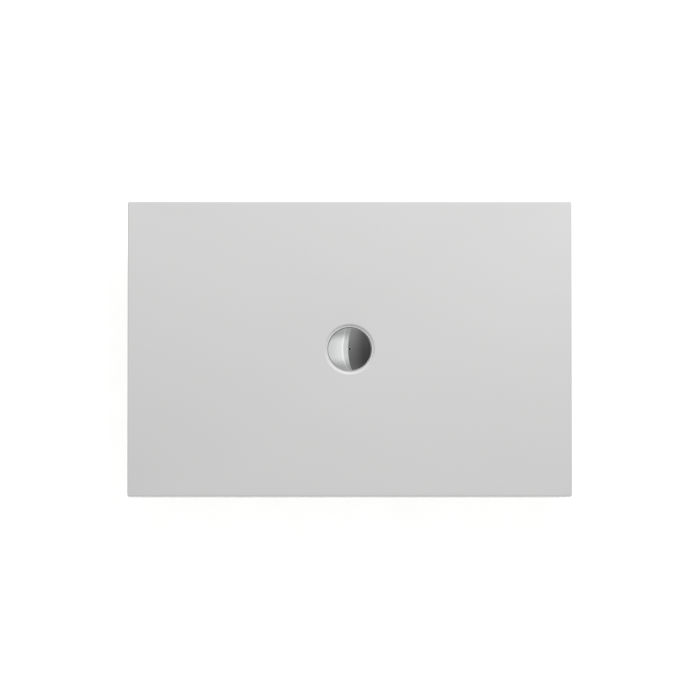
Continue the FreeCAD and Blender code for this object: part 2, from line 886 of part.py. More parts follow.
def end_cap_master():
    """A plastic plug for a tube's end: a flange at its origin facing +X, and a plug behind it."""
    body = new_body("end_cap_master")
    flange = new_sketch(body, "cap_flange", "YZ_Plane")
    draw_path(flange, rounded_rectangle(size["rail_wide"], size["rail_high"], size["rail_bend"]))
    pad(body, "cap_plate", flange, size["cap_flange"])
    plug = new_sketch(body, "cap_plug", "YZ_Plane")
    fit = 2 * (size["rail_wall"] + size["plug_gap"])
    across, up = size["rail_wide"] - fit, size["rail_high"] - fit
    draw_path(plug, rounded_rectangle(across, up, size["rail_bend"] - size["rail_wall"]))
    pad(body, "cap_block", plug, size["cap_plug"], Reversed=True)
    return body


def rail_end_caps(master):
    end = rail_long / 2
    places = []
    for side in SIDES:
        places.append((end, side * rail_y, rail_middle, UPRIGHT))
        places.append((-end, side * rail_y, rail_middle, turned_about_z(180)))
    return group("rail_end_caps", master, places)


# ---------------------------------------------------------------- feet


def foot_places():
    """The (x, y) of every foot, by the foot's name."""
    return {
        name: (along * foot_x, side * rail_y)
        for name, (along, side) in FEET.items()
    }


def rivet_nut_master():
    """A set rivet nut: its flange lies under the rail's bottom wall, its bulge inside."""
    brim = rivet_radius + size["rivet_brim"]
    above = size["rivet_brim_thick"]
    wall = above + size["rail_wall"]
    bulge = rivet_radius + size["rivet_bulge"]
    top = above + size["rivet_high"]
    outline = [
        (nut_bore, 0),
        (brim, 0),
        (brim, above),
        (rivet_radius, above),
        (rivet_radius, wall),
        (bulge, wall),
        (bulge, wall + size["rivet_bulge"]),
        (rivet_radius, wall + 2 * size["rivet_bulge"]),
        (rivet_radius, top),
        (nut_bore, top),
    ]
    return turned_body("rivet_nut_master", outline)


def rivet_nuts(master):
    places = [(x, y, rivet_under, UPRIGHT) for x, y in foot_places().values()]
    return group("rivet_nuts", master, places)


def lock_nut_master():
    """A hexagon nut with its outer corners chamfered at both ends."""
    body = new_body("lock_nut_master")
    high, flats, chamfer = (size[n] for n in ("nut_high", "nut_flats", "nut_chamfer"))
    outline = new_sketch(body, "nut_outline", offset=-high)
    draw_path(outline, hexagon(flats))
    draw_circle(outline, nut_bore)
    pad(body, "nut_block", outline, high)
    reach = flats / math.cos(math.radians(30)) / 2 + PAST
    inner = flats / 2 + PAST / 4
    for name, face, inwards in (("top", 0, -1), ("bottom", -high, 1)):
        cut = new_sketch(body, f"nut_{name}_chamfer", "XZ_Plane")
        draw_path(cut, [(inner, face), (reach, face), (reach, face + inwards * chamfer)])
        turn(body, f"nut_{name}_chamfered", cut, "Groove")
    return body


def lock_nuts(master):
    places = [(x, y, rivet_under, UPRIGHT) for x, y in foot_places().values()]
    return group("lock_nuts", master, places)


def foot_sole(label, x, y):
    """The rubber cup under a foot, which stands on the floor."""
    radius, thick = size["sole_radius"], size["sole_thick"]
    inner, edge = radius - size["sole_wall"], size["sole_round"]
    top = thick + size["sole_rim"]
    outline = [
        (0, 0),
        (radius - edge, 0),
        (radius, edge, edge, 1),
        (radius, top),
        (inner, top),
        (inner, thick),
        (0, thick),
    ]
    return turned_body(label, outline, x, y)


def foot_pad(label, x, y):
    """The plastic foot plate with the socket that the spindle's ankle turns in."""
    base = size["sole_thick"]
    shoulder = base + size["pad_thick"]
    edge, corner, fillet = size["pad_round"], size["hub_round"], size["hub_fillet"]
    neck_hole = neck_radius + size["swivel_gap"]
    chamber_floor = ankle_low - size["running_gap"]
    outline = [
        (0, base),
        (pad_plate, base),
        (pad_plate, shoulder - edge),
        (pad_plate - edge, shoulder, edge, 1),
        (hub_radius + fillet, shoulder),
        (hub_radius, shoulder + fillet, fillet, -1),
        (hub_radius, hub_top - corner),
        (hub_radius - corner, hub_top, corner, 1),
        (neck_hole, hub_top),
        (neck_hole, chamber_top),
        (chamber_radius, chamber_top),
        (chamber_radius, chamber_floor),
        (0, chamber_floor),
    ]
    return turned_body(label, outline, x, y)


def foot_spindle(label, x, y):
    """The threaded spindle: an ankle that turns in the pad, a hexagon for the spanner, the thread."""
    thread, bevel = size["thread_radius"], size["ankle_chamfer"]
    outline = [
        (0, ankle_low),
        (ankle_radius - bevel, ankle_low),
        (ankle_radius, ankle_low + bevel),
        (ankle_radius, ankle_top),
        (neck_radius, ankle_top),
        (neck_radius, hex_low + PAST),
        (thread, hex_top - PAST),
        (thread, spindle_top - size["thread_chamfer"]),
        (thread - size["thread_chamfer"], spindle_top),
        (0, spindle_top),
    ]
    body = turned_body(label, outline, x, y)
    drive = new_sketch(body, f"{label}_drive", offset=hex_low)
    draw_path(drive, hexagon(size["hex_flats"]))
    pad(body, f"{label}_hexagon", drive, size["hex_high"])
    return body


# ---------------------------------------------------------------- waste fitting


def flat_ring(label, inner, outer, level, thick):
    """A flat ring about the waste's axis."""
    outline = [(inner, level), (outer, level), (outer, level + thick), (inner, level + thick)]
    return turned_body(label, outline)


def waste_flange():
    """The steel flange: a ring on the shelf, a well through the tray and a collar for the insert."""
    ring, edge = flange_radius, size["flange_round"]
    collar_foot = flange_floor - size["collar_depth"]
    outline = [
        (collar_radius, flange_floor),
        (collar_radius, collar_foot),
        (collar_outside, collar_foot),
        (collar_outside, boss_level),
        (well_outside, boss_level),
        (well_outside, flange_level),
        (ring, flange_level),
        (ring, flange_top - edge),
        (ring - edge, flange_top, edge, 1),
        (well_inside, flange_top),
        (well_inside, flange_floor),
    ]
    body = turned_body("waste_flange", outline)
    holes = new_sketch(body, "flange_holes", offset=flange_floor)
    for degrees in THIRDS:
        x, y = on_circle(waste_screw_circle, degrees)
        draw_circle(holes, size["waste_screw_radius"] + size["screw_gap"], x, y)
    pocket(body, "flange_holes_drilled", holes, size["flange_thick"] + PAST)
    return body


def on_circle(radius, degrees):
    """The (x, y) of a point on a circle about the origin."""
    angle = math.radians(degrees)
    return radius * math.cos(angle), radius * math.sin(angle)


def waste_screw_master():
    """A pan-head screw of the waste flange, its shank pointing to -Z."""
    radius, head, tip = size["waste_screw_radius"], size["waste_screw_head"], size["waste_screw_tip"]
    return pan_head_screw("waste_screw", radius, size["waste_screw_reach"], head, radius - tip, tip)


def flange_screws(master):
    places = [(*on_circle(waste_screw_circle, d), flange_floor, UPRIGHT) for d in THIRDS]
    return group("flange_screws", master, places)


def upper_seal():
    inner = size["waste_hole"] + size["seal_inset"]
    outer = flange_radius - size["seal_inset"]
    return flat_ring("upper_seal", inner, outer, shelf_level, size["seal_thick"])


def lower_seal():
    inner = pot_outside + size["seal_inset"]
    outer = pot_brim_radius - 2 * size["seal_inset"]
    return flat_ring("lower_seal", inner, outer, pot_top, size["lower_seal_thick"])


def trap_body():
    """The trap's pot with a flange at its mouth, three screw bosses and a socket to the rear."""
    body = new_body("trap_body")
    foot, floor, bend = pot_foot, pot_foot + size["pot_floor"], size["pot_round"]
    brim_foot = pot_top - size["pot_brim_thick"]
    shape = new_sketch(body, "pot_outside", "XZ_Plane")
    draw_path(
        shape,
        [
            (0, foot),
            (pot_outside - bend, foot),
            (pot_outside, foot + bend, bend, 1),
            (pot_outside, brim_foot),
            (pot_brim_radius, brim_foot),
            (pot_brim_radius, pot_top),
            (0, pot_top),
        ],
    )
    turn(body, "pot", shape)

    # the XZ plane's normal points to -Y, so a reversed pad runs to the rear
    socket = new_sketch(body, "socket_outside", "XZ_Plane")
    draw_circle(socket, socket_outside, 0, outlet_level)
    pad(body, "socket", socket, socket_mouth, Reversed=True)

    hollow = new_sketch(body, "pot_inside", "XZ_Plane")
    inner_bend = bend - size["pot_wall"]
    draw_path(
        hollow,
        [
            (0, floor),
            (pot_inside - inner_bend, floor),
            (pot_inside, floor + inner_bend, inner_bend, 1),
            (pot_inside, pot_top + PAST),
            (0, pot_top + PAST),
        ],
    )
    turn(body, "pot_hollow", hollow, "Groove")

    boss = new_sketch(body, "boss_outline", offset=boss_level - size["boss_high"])
    radius, circle = size["boss_radius"], waste_screw_circle
    middle = pot_inside + size["pot_wall"] / 2
    draw_path(
        boss,
        [
            (middle, -radius),
            (middle, radius),
            (circle, radius),
            (circle - radius, 0, radius, 1),
            (circle, -radius, radius, 1),
        ],
    )
    boss_pad = pad(body, "boss", boss, size["boss_high"])
    bore = new_sketch(body, "boss_bore", offset=boss_level)
    draw_circle(bore, size["waste_screw_radius"] + size["running_gap"], circle)
    boss_bore = pocket(body, "boss_drilled", bore, size["waste_screw_reach"])
    repeat_round(body, "bosses", [boss_pad, boss_bore], len(THIRDS))

    mouth = new_sketch(body, "socket_bore", "XZ_Plane", -socket_mouth)
    draw_circle(mouth, socket_radius, 0, outlet_level)
    pocket(body, "socket_bored", mouth, size["socket_depth"], Reversed=True)
    way = new_sketch(body, "outlet_way", "XZ_Plane", -socket_mouth)
    draw_circle(way, pipe_bore, 0, outlet_level)
    pocket(body, "outlet_way_bored", way, socket_mouth - collar_radius, Reversed=True)
    return body


def trap_insert():
    """The dip tube that lifts out: a rim, a seal groove, and a hub on three arms for the cover."""
    bore, outer, edge = insert_bore, insert_radius, size["insert_round"]
    groove_top = groove_foot + size["groove_high"]
    brim_top = flange_floor + size["insert_brim_thick"]
    outline = [
        (bore, insert_foot),
        (outer, insert_foot),
        (outer, groove_foot),
        (groove_radius, groove_foot),
        (groove_radius, groove_top),
        (outer, groove_top),
        (outer, flange_floor),
        (insert_brim, flange_floor),
        (insert_brim, brim_top - edge),
        (insert_brim - edge, brim_top, edge, 1),
        (bore, brim_top),
    ]
    body = turned_body("trap_insert", outline)
    hub_level = flange_floor - size["insert_hub_high"]
    arm = new_sketch(body, "insert_arm", offset=hub_level)
    half = size["insert_arm"] / 2
    reach = bore + size["insert_wall"] / 4
    hub, pin = size["insert_hub"], size["stem_radius"] + size["insert_gap"]
    draw_path(arm, [(reach, -half), (reach, half), (hub - PAST, half), (hub - PAST, -half)])
    arm_pad = pad(body, "insert_arm_pad", arm, size["insert_hub_high"])
    repeat_round(body, "insert_arms", [arm_pad], len(THIRDS))
    ring = new_sketch(body, "insert_hub", offset=hub_level)
    draw_circle(ring, hub)
    draw_circle(ring, pin)
    pad(body, "insert_hub_pad", ring, size["insert_hub_high"])
    return body


def insert_seal():
    """The rubber ring in the insert's groove."""
    body = new_body("insert_seal")
    section = size["ring_section"]
    middle = groove_radius + size["running_gap"] + section
    level = groove_foot + size["groove_high"] / 2
    sketch = new_sketch(body, "ring_section", "XZ_Plane")
    draw_circle(sketch, section, middle, level)
    turn(body, "ring", sketch)
    return body


def waste_cover():
    """The chrome cover: a low dome with a turned-down edge and a lifting hole in its middle."""
    wall, hole, bend = size["cover_thick"], size["lift_hole"], size["cover_round"]
    dome = size["dome_radius"]
    round_foot = dome_edge - bend * dome_rise / dome
    inside = cover_radius - wall
    outline = [
        (hole, dome_level(hole, wall)),
        (inside, dome_level(inside, wall), dome - wall, -1),
        (inside, cover_edge),
        (cover_radius, cover_edge),
        (cover_radius, round_foot),
        (cover_shoulder, dome_edge, bend, 1),
        (hole, dome_level(hole), dome, 1),
    ]
    return turned_body("waste_cover", outline)


def cover_carrier():
    """The plastic spider under the cover: a hollow stem, a boss, a ring on arms and three legs."""
    body = new_body("cover_carrier")
    plate_top = dome_edge - size["cover_thick"] - size["carrier_drop"]
    plate_low = plate_top - size["carrier_plate"]
    boss = size["carrier_boss"]
    boss_top = dome_level(boss, size["cover_thick"]) - size["inside_gap"]
    stem, bore = size["stem_radius"], size["stem_bore"]
    outline = new_sketch(body, "carrier_outline", "XZ_Plane")
    draw_path(
        outline,
        [
            (bore, plate_top - size["stem_reach"]),
            (stem - size["stem_chamfer"], plate_top - size["stem_reach"]),
            (stem, plate_top - size["stem_reach"] + size["stem_chamfer"]),
            (stem, plate_low),
            (boss, plate_low),
            (boss, boss_top),
            (bore, boss_top),
        ],
    )
    turn(body, "carrier_stem", outline)
    arm = new_sketch(body, "carrier_arm", offset=plate_low)
    half, ring = size["carrier_arm"] / 2, cover_radius - size["carrier_inset"]
    ring_inner = ring - size["carrier_ring_wide"]
    near, far = boss - PAST, ring_inner + PAST
    draw_path(arm, [(near, -half), (far, -half), (far, half), (near, half)])
    arm_pad = pad(body, "carrier_arm_pad", arm, size["carrier_plate"])
    repeat_round(body, "carrier_arms", [arm_pad], len(THIRDS))
    band = new_sketch(body, "carrier_ring", offset=plate_low)
    draw_circle(band, ring)
    draw_circle(band, ring_inner)
    pad(body, "carrier_ring_pad", band, size["carrier_plate"])
    leg = new_sketch(body, "carrier_leg", offset=flange_top)
    draw_circle(leg, size["leg_radius"], ring - size["carrier_ring_wide"] / 2)
    leg_pad = pad(body, "carrier_leg_pad", leg, plate_low - flange_top + PAST)
    repeat_round(body, "carrier_legs", [leg_pad], len(THIRDS))
    return body


# ---------------------------------------------------------------- outlet


def outlet_seal():
    """The rubber ring that the nut presses against the socket's mouth."""
    body = new_body("outlet_seal", z=outlet_level)
    sketch = new_sketch(body, "outlet_seal_section", "XZ_Plane", -socket_mouth)
    draw_circle(sketch, socket_outside - size["running_gap"])
    draw_circle(sketch, size["pipe_radius"] + size["running_gap"])
    pad(body, "outlet_seal_ring", sketch, size["outlet_seal_thick"], Reversed=True)
    return body


def outlet_nut():
    """The union nut: a threaded sleeve over the socket, an end wall, and grip ribs."""
    body = new_body("outlet_nut", z=outlet_level)
    long = size["outlet_nut_long"]
    inner = socket_outside + size["running_gap"]
    outer = inner + size["outlet_nut_wall"]
    block = new_sketch(body, "nut_sleeve", "XZ_Plane", -nut_end)
    draw_circle(block, outer)
    draw_circle(block, size["pipe_radius"] + size["insert_gap"])
    pad(body, "nut_sleeve_pad", block, long)
    rib = new_sketch(body, "nut_rib", "XZ_Plane", -nut_end)
    grip = outer + size["outlet_nut_grip"]
    half = size["outlet_nut_grip"]
    root = outer - PAST
    draw_path(rib, [(-half, root), (half, root), (half, grip), (-half, grip)])
    rib_pad = pad(body, "nut_rib_pad", rib, long)
    repeat_round(body, "nut_ribs", [rib_pad], GRIPS, "Y_Axis")
    seat = new_sketch(body, "nut_thread", "XZ_Plane", size["outlet_nut_end"] - nut_end)
    draw_circle(seat, inner)
    pocket(body, "nut_threaded", seat, long - size["outlet_nut_end"] + PAST, Reversed=True)
    return body


def outlet_bend():
    """The outlet bend: a spigot in the socket, a stop collar, a 45 degree turn and a tail."""
    body = new_body("outlet_bend", z=outlet_level)
    angle = math.radians(BEND_DEGREES)
    collar_start = nut_end + size["bend_collar_gap"]
    turn_start = collar_start + size["bend_collar"] + 2 * size["bend_collar_gap"]
    spigot_start = socket_mouth - size["socket_depth"] + size["spigot_gap"]
    arc_x = size["bend_turn"] * (1 - math.cos(angle))
    arc_y = turn_start + size["bend_turn"] * math.sin(angle)
    tail_x = arc_x + size["bend_tail"] * math.sin(angle)
    tail_y = arc_y + size["bend_tail"] * math.cos(angle)
    path = new_sketch(body, "bend_path")
    corners = [
        (0, spigot_start),
        (0, turn_start),
        (arc_x, arc_y, size["bend_turn"], -1),
        (tail_x, tail_y),
    ]
    draw_path(path, corners, closed=False)
    section = new_sketch(body, "bend_section", "XZ_Plane", -spigot_start)
    draw_circle(section, size["pipe_radius"])
    draw_circle(section, pipe_bore)
    edges = [f"Edge{number}" for number in range(1, len(corners))]
    add(body, "AdditivePipe", "bend_pipe", section, Spine=(path, edges))
    collar = new_sketch(body, "bend_collar", "XZ_Plane", -collar_start)
    draw_circle(collar, size["pipe_radius"] + size["bend_collar_brim"])
    draw_circle(collar, pipe_bore + size["pipe_wall"] / 2)
    pad(body, "bend_collar_pad", collar, size["bend_collar"], Reversed=True)
    return body


# ---------------------------------------------------------------- the whole tray


def support_strips():
    """One strip on each of the four rails."""
    along = [(x, 0) for x in screws_along()]
    across = [(0, end * size["cross_screw"]) for end in SIDES]
    strips = []
    for name, side in (("front", -1), ("rear", 1)):
        middle = (0, side * rail_y)
        strips.append(support_strip(f"support_strip_{name}", middle, rail_long, size["rail_wide"], along))
    for name, side in (("left", -1), ("right", 1)):
        middle = (side * cross_x, 0)
        strips.append(support_strip(f"support_strip_{name}", middle, size["rail_wide"], cross_long, across))
    return strips


def feet():
    """The spindle, pad and sole of every foot."""
    pieces = []
    for name, (x, y) in foot_places().items():
        pieces.append(foot_spindle(f"foot_{name}_spindle", x, y))
        pieces.append(foot_pad(f"foot_{name}_pad", x, y))
        pieces.append(foot_sole(f"foot_{name}_sole", x, y))
    return pieces


def build():
    """Every sub-part of the tray, in the order in which it is put together."""
    parts = [tray_shell(), foam_core(), base_board(), *support_strips()]
    parts += [long_rail("long_rail_front", -1), long_rail("long_rail_rear", 1)]
    parts += [cross_rail("cross_rail_left", -1), cross_rail("cross_rail_right", 1)]
    parts.append(corner_brackets(bracket_master()))
    parts.append(bracket_screws(bracket_screw_master()))
    parts.append(rail_screws(rail_screw_master()))
    parts.append(rail_end_caps(end_cap_master()))
    parts.append(rivet_nuts(rivet_nut_master()))
    parts.append(lock_nuts(lock_nut_master()))
    parts += feet()
    parts += [upper_seal(), waste_flange(), flange_screws(waste_screw_master()), lower_seal()]
    parts += [trap_body(), trap_insert(), insert_seal(), waste_cover(), cover_carrier()]
    parts += [outlet_seal(), outlet_nut(), outlet_bend()]
    document.recompute()
    return parts


def check(parts):
    """Stops if any object failed, or any sub-part has no valid solid."""
    for item in document.Objects:
        if "Invalid" in item.State or "Error" in item.State:
            raise RuntimeError(f"{item.Label} is {item.State}")
    for part in parts:
        shape = part.Shape
        if shape.isNull() or not shape.isValid() or not shape.Solids:
            raise RuntimeError(f"{part.Label} has no valid solid")
    if len(parts) > LARGEST_NUMBER_OF_PARTS:
        raise RuntimeError(f"{len(parts)} parts are too many")


def write(parts):
    os.makedirs("parts", exist_ok=True)
    for part in parts:
        part.Shape.exportStep(f"parts/{part.Label}.step")
        box = part.Shape.BoundBox
        print(
            f"{part.Label:28s} solids {len(part.Shape.Solids):2d}  volume {part.Shape.Volume:12.1f}"
            f"  X {box.XMin:8.2f} {box.XMax:8.2f}  Y {box.YMin:8.2f} {box.YMax:8.2f}"
            f"  Z {box.ZMin:7.2f} {box.ZMax:7.2f}"
        )


pieces = build()
check(pieces)
write(pieces)
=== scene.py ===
import json
import math

import bmesh
import bpy
import numpy as np
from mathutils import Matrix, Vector


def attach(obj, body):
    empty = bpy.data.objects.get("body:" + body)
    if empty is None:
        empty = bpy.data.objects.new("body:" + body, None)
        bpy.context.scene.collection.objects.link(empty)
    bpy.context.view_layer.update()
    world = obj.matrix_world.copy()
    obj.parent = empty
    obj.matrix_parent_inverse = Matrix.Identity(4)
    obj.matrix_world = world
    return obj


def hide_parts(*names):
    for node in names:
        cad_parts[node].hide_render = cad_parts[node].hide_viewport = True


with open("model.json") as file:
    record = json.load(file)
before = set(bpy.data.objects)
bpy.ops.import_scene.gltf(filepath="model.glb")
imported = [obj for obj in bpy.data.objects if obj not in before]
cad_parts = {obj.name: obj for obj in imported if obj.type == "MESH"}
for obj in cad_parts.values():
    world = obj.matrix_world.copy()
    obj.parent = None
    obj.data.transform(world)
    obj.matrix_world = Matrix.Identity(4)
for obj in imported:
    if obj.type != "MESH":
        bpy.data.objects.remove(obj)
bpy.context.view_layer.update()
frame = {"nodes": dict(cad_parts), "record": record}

# Lengths of the tray and its pieces are millimetres, as on a maker's drawing. MM turns them into metres.
MM = 0.001
TAU = 2 * math.pi

# The tray from above: half its length and width with its corner's radius, and the same of the dish.
HALF_LONG, HALF_WIDE, CORNER = 600.0, 400.0, 6.0
DISH_LONG, DISH_WIDE, DISH_CORNER = 594.0, 394.0, 30.0

# Levels of the rim, of the lip round the waste, of the shelf under the cover and of the apron's
# lower edge, the shell's thickness, and the radius of the round at the rim.
RIM, LIP, SHELF, APRON = 165.0, 153.0, 140.0, 125.0
SHELL, RIM_ROUND = 4.0, 2.5

# Round the cover: the waste hole, the recess wall, a narrow ledge with a small round, and two equal
# arcs that swell up to the lip, each over half of the drop.
HOLE, HOLE_ROUND = 46.0, 0.5
WALL, WALL_ROUND, SHELF_ROUND = 59.8, 0.8, 3.0
LEDGE, SWELL = LIP - 4.0, 7.5
SWELL_TILT = math.degrees(math.acos(1 - (LIP - LEDGE) / 2 / SWELL))
SWELL_TOP = WALL + WALL_ROUND + 2 * SWELL * math.sin(math.radians(SWELL_TILT))
LIP_RADIUS = SWELL_TOP + 0.5

# The long rails lie LONG_RAIL in front of the middle and behind it, and carry the feet. RAIL_LOW is
# the level of the rails' underside.
LONG_RAIL, RAIL_LOW = 250.0, 83.0
FOOT_ROWS = {"front": -LONG_RAIL, "rear": LONG_RAIL}
FOOT_PLACES = {"left": -500.0, "middle": 0.0, "right": 500.0}
FEET = {f"{row}_{place}": (x, y) for row, y in FOOT_ROWS.items() for place, x in FOOT_PLACES.items()}

PITCH = 1.75  # of an M12 thread
OUTLET = 95.0  # height of the outlet's axis
SCREW_RING = 39.6  # how far out the flange's screws stand
THIRDS = (0, 120, 240)  # degrees

# Points that are closer than MERGE become one, and edges shorter than SLIVER go. Both are metres.
MERGE, SLIVER = 2e-6, 1e-7
UP, REAR = "up", "rear"


# ---------------------------------------------------------------- profiles and surfaces


def arc(centre, radius, start, end, steps=8):
    """Points on a circle: centre plus radius times (cos, sin) of evenly spaced degrees."""
    turn = np.radians(np.linspace(start, end, steps + 1))
    return np.stack([centre[0] + radius * np.cos(turn), centre[1] + radius * np.sin(turn)], 1)


def profile(*pieces):
    """One outline from points and arcs, in order, as an array of (radius, height) rows."""
    return np.vstack([np.atleast_2d(np.asarray(piece, float)) for piece in pieces])


def turns(sides):
    """Evenly spaced angles once round."""
    return np.arange(sides) * TAU / sides


def polar(radius, turn, height):
    """Points at a radius and an angle: x = r cos t, y = r sin t, z = height."""
    x, y = radius * np.cos(turn), radius * np.sin(turn)
    return np.stack([x, y, np.broadcast_to(height, x.shape)], 2)


def around(outline, sides=96):
    """Turns an outline of (radius, height) rows about the height axis."""
    return polar(outline[:, :1], turns(sides), outline[:, 1:])


def flats(outline, across, sides=144, turned=0.0):
    """Turns an outline that a hexagon cuts: the radius at angle t is the smaller of the outline's
    own and the hexagon's, which is half its width across flats over cos(t from the flat's middle)."""
    turn = turns(sides)
    off = np.mod(turn - turned, TAU / 6) - TAU / 12
    hexagon = across / 2 / np.cos(off)
    return polar(np.minimum(outline[:, :1], hexagon), turn, outline[:, 1:])


def pointing(points, way, place):
    """Moves a grid made about +Z to its place, or first lays its height axis along +Y for REAR."""
    if way == REAR:
        points = np.stack([points[..., 0], points[..., 2], -points[..., 1]], -1)
    return points + np.asarray(place, float)


def spin(way):
    """The matrix that turns rows of (x, y, z) about the height axis by an angle in radians."""
    return np.array([[math.cos(way), math.sin(way), 0], [-math.sin(way), math.cos(way), 0], [0, 0, 1]])


def boxes(low, high):
    """The six faces of a box as one closed grid of four rings: pole, foot, top, pole."""
    (x0, y0, z0), (x1, y1, z1) = low, high
    ring = np.array([(x0, y0), (x1, y0), (x1, y1), (x0, y1)], float)
    middle = ring.mean(0)
    flat = np.broadcast_to(middle, (4, 2))
    rows = [(flat, z0), (ring, z0), (ring, z1), (flat, z1)]
    return np.stack([np.column_stack([xy, np.full(4, z)]) for xy, z in rows])


def piece(name, grids, body, slot, stands_for, closed_rows=(), sharp=35.0):
    """Makes one object from grids of points in millimetres, with its slot's finish. Each grid is
    rows by columns, joined round its columns; a grid whose number is in closed_rows is also joined
    last row to first. Doubles are merged and the faces are turned outwards."""
    verts, faces, start = [], [], 0
    for number, grid in enumerate(grids):
        rows, cols = grid.shape[:2]
        index = start + np.arange(rows * cols).reshape(rows, cols)
        below = index if number in closed_rows else index[:-1]
        above = np.roll(index, -1, 0) if number in closed_rows else index[1:]
        quads = np.stack([below, np.roll(below, -1, 1), np.roll(above, -1, 1), above], -1)
        verts.append(grid.reshape(-1, 3) * MM)
        faces.append(quads.reshape(-1, 4))
        start += rows * cols
    mesh = bpy.data.meshes.new(name)
    mesh.from_pydata(np.vstack(verts).tolist(), [], np.vstack(faces).tolist())
    work = bmesh.new()
    work.from_mesh(mesh)
    bmesh.ops.remove_doubles(work, verts=work.verts, dist=MERGE)
    bmesh.ops.dissolve_degenerate(work, edges=work.edges, dist=SLIVER)
    bmesh.ops.recalc_face_normals(work, faces=work.faces)
    work.to_mesh(mesh)
    work.free()
    mesh.shade_smooth()
    mesh.set_sharp_from_angle(angle=math.radians(sharp))
    made = bpy.data.objects.new(name, mesh)
    bpy.context.collection.objects.link(made)
    mesh.materials.append(PAINTS[slot])
    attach(made, body)
    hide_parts(*stands_for)


# ---------------------------------------------------------------- finishes


def plain(name, colour, rough, metal=0.0):
    """A material with one Principled shader. Constants sit on the shader's own sockets."""
    made = bpy.data.materials.new(name)
    made.use_nodes = True
    made.node_tree.nodes.clear()
    shader = made.node_tree.nodes.new("ShaderNodeBsdfPrincipled")
    out = made.node_tree.nodes.new("ShaderNodeOutputMaterial")
    made.node_tree.links.new(shader.outputs["BSDF"], out.inputs["Surface"])
    shader.inputs["Base Color"].default_value = (*colour, 1)
    shader.inputs["Roughness"].default_value = rough
    shader.inputs["Metallic"].default_value = metal
    shader.inputs["IOR"].default_value = 1.5
    return made, shader


class Nodes:
    """A small hand for adding nodes to a tree and joining them."""

    def __init__(self, tree):
        self.tree = tree

    def add(self, kind, settings=(), **inputs):
        node = self.tree.nodes.new(f"ShaderNode{kind}")
        for key, value in dict(settings).items():
            setattr(node, key, value)
        for key, value in inputs.items():
            self.feed(node.inputs[key.replace("_", " ")], value)
        return node

    def feed(self, socket, value):
        if isinstance(value, bpy.types.NodeSocket):
            self.tree.links.new(value, socket)
        else:
            socket.default_value = value

    def maths(self, kind, first, second=0.0, clamp=False):
        node = self.add("Math", {"operation": kind, "use_clamp": clamp})
        self.feed(node.inputs[0], first)
        self.feed(node.inputs[1], second)
        return node.outputs[0]

    def between(self, value, low, high, out_low=0.0, out_high=1.0):
        node = self.add("MapRange", {"interpolation_type": "SMOOTHSTEP"}, Value=value)
        limits = {"From Min": low, "From Max": high, "To Min": out_low, "To Max": out_high}
        for key, number in limits.items():
            self.feed(node.inputs[key], number)
        return node.outputs["Result"]

    def mix(self, share, first, second):
        node = self.add("Mix", {"data_type": "RGBA", "clamp_factor": True})
        self.feed(node.inputs[0], share)
        self.feed(node.inputs[6], first)
        self.feed(node.inputs[7], second)
        return node.outputs[2]

    def noise(self, where, scale, detail=3.0):
        return self.add("TexNoise", Vector=where, Scale=scale, Detail=detail).outputs["Fac"]

    def warped(self, where, scale, push):
        """A place pushed about by noise: where + the noise's colour times push."""
        warp = self.add("TexNoise", Vector=where, Scale=scale, Detail=2.0)
        bent = self.add("VectorMath", {"operation": "MULTIPLY_ADD"})
        self.feed(bent.inputs[0], warp.outputs["Color"])
        self.feed(bent.inputs[1], (push, push, push))
        self.feed(bent.inputs[2], where)
        return bent.outputs[0]


def effect(name, inputs, outputs, build):
    """A shader node group with named inputs and outputs, filled in by build."""
    tree = bpy.data.node_groups.new(name, "ShaderNodeTree")
    for key, kind, value in inputs:
        socket = tree.interface.new_socket(key, in_out="INPUT", socket_type=f"NodeSocket{kind}")
        socket.default_value = value
    for key, kind in outputs:
        tree.interface.new_socket(key, in_out="OUTPUT", socket_type=f"NodeSocket{kind}")
    source = tree.nodes.new("NodeGroupInput")
    sink = tree.nodes.new("NodeGroupOutput")
    build(Nodes(tree), source.outputs, sink.inputs)
    return tree


def surface_wear(nodes, given, out):
    """Mottled colour, uneven gloss and a fine bump from two sizes of noise in object space."""
    where = nodes.add("TexCoord").outputs["Object"]
    broad = nodes.noise(where, given["Broad"], 3.0)
    fine = nodes.noise(where, given["Fine"], 2.0)
    tone = nodes.maths("MULTIPLY", nodes.maths("SUBTRACT", broad, 0.5), given["Mottle"])
    speck = nodes.maths("MULTIPLY", nodes.maths("SUBTRACT", fine, 0.5), given["Speckle"])
    level = nodes.maths("ADD", nodes.maths("ADD", tone, speck), 1.0)
    shade = nodes.add("VectorMath", {"operation": "SCALE"})
    nodes.feed(shade.inputs[0], given["Colour"])
    nodes.feed(shade.inputs["Scale"], level)
    nodes.feed(out["Colour"], shade.outputs[0])
    spread = nodes.maths("MULTIPLY", nodes.maths("SUBTRACT", broad, 0.5), given["Gloss Change"])
    nodes.feed(out["Roughness"], nodes.maths("ADD", spread, given["Roughness"], True))
    bump = nodes.add("Bump", Strength=given["Bump"], Distance=given["Depth"], Height=fine)
    nodes.feed(out["Normal"], bump.outputs["Normal"])


def edge_dust(nodes, given, out):
    """Dust that gathers where the surface looks up and lies low, and thins out with height."""
    geometry = nodes.add("NewGeometry")
    where = nodes.add("TexCoord").outputs["Object"]
    split = nodes.add("SeparateXYZ", Vector=geometry.outputs["Normal"])
    place = nodes.add("SeparateXYZ", Vector=where)
    upward = nodes.between(split.outputs["Z"], 0.55, 0.98)
    low = nodes.between(place.outputs["Z"], 0.0, given["Height"], 1.0, 0.0)
    cloud = nodes.between(nodes.noise(where, 60.0, 4.0), 0.38, 0.66)
    amount = nodes.maths("MULTIPLY", nodes.maths("MULTIPLY", upward, low), cloud)
    nodes.feed(out["Dust"], nodes.maths("MULTIPLY", amount, given["Amount"], True))


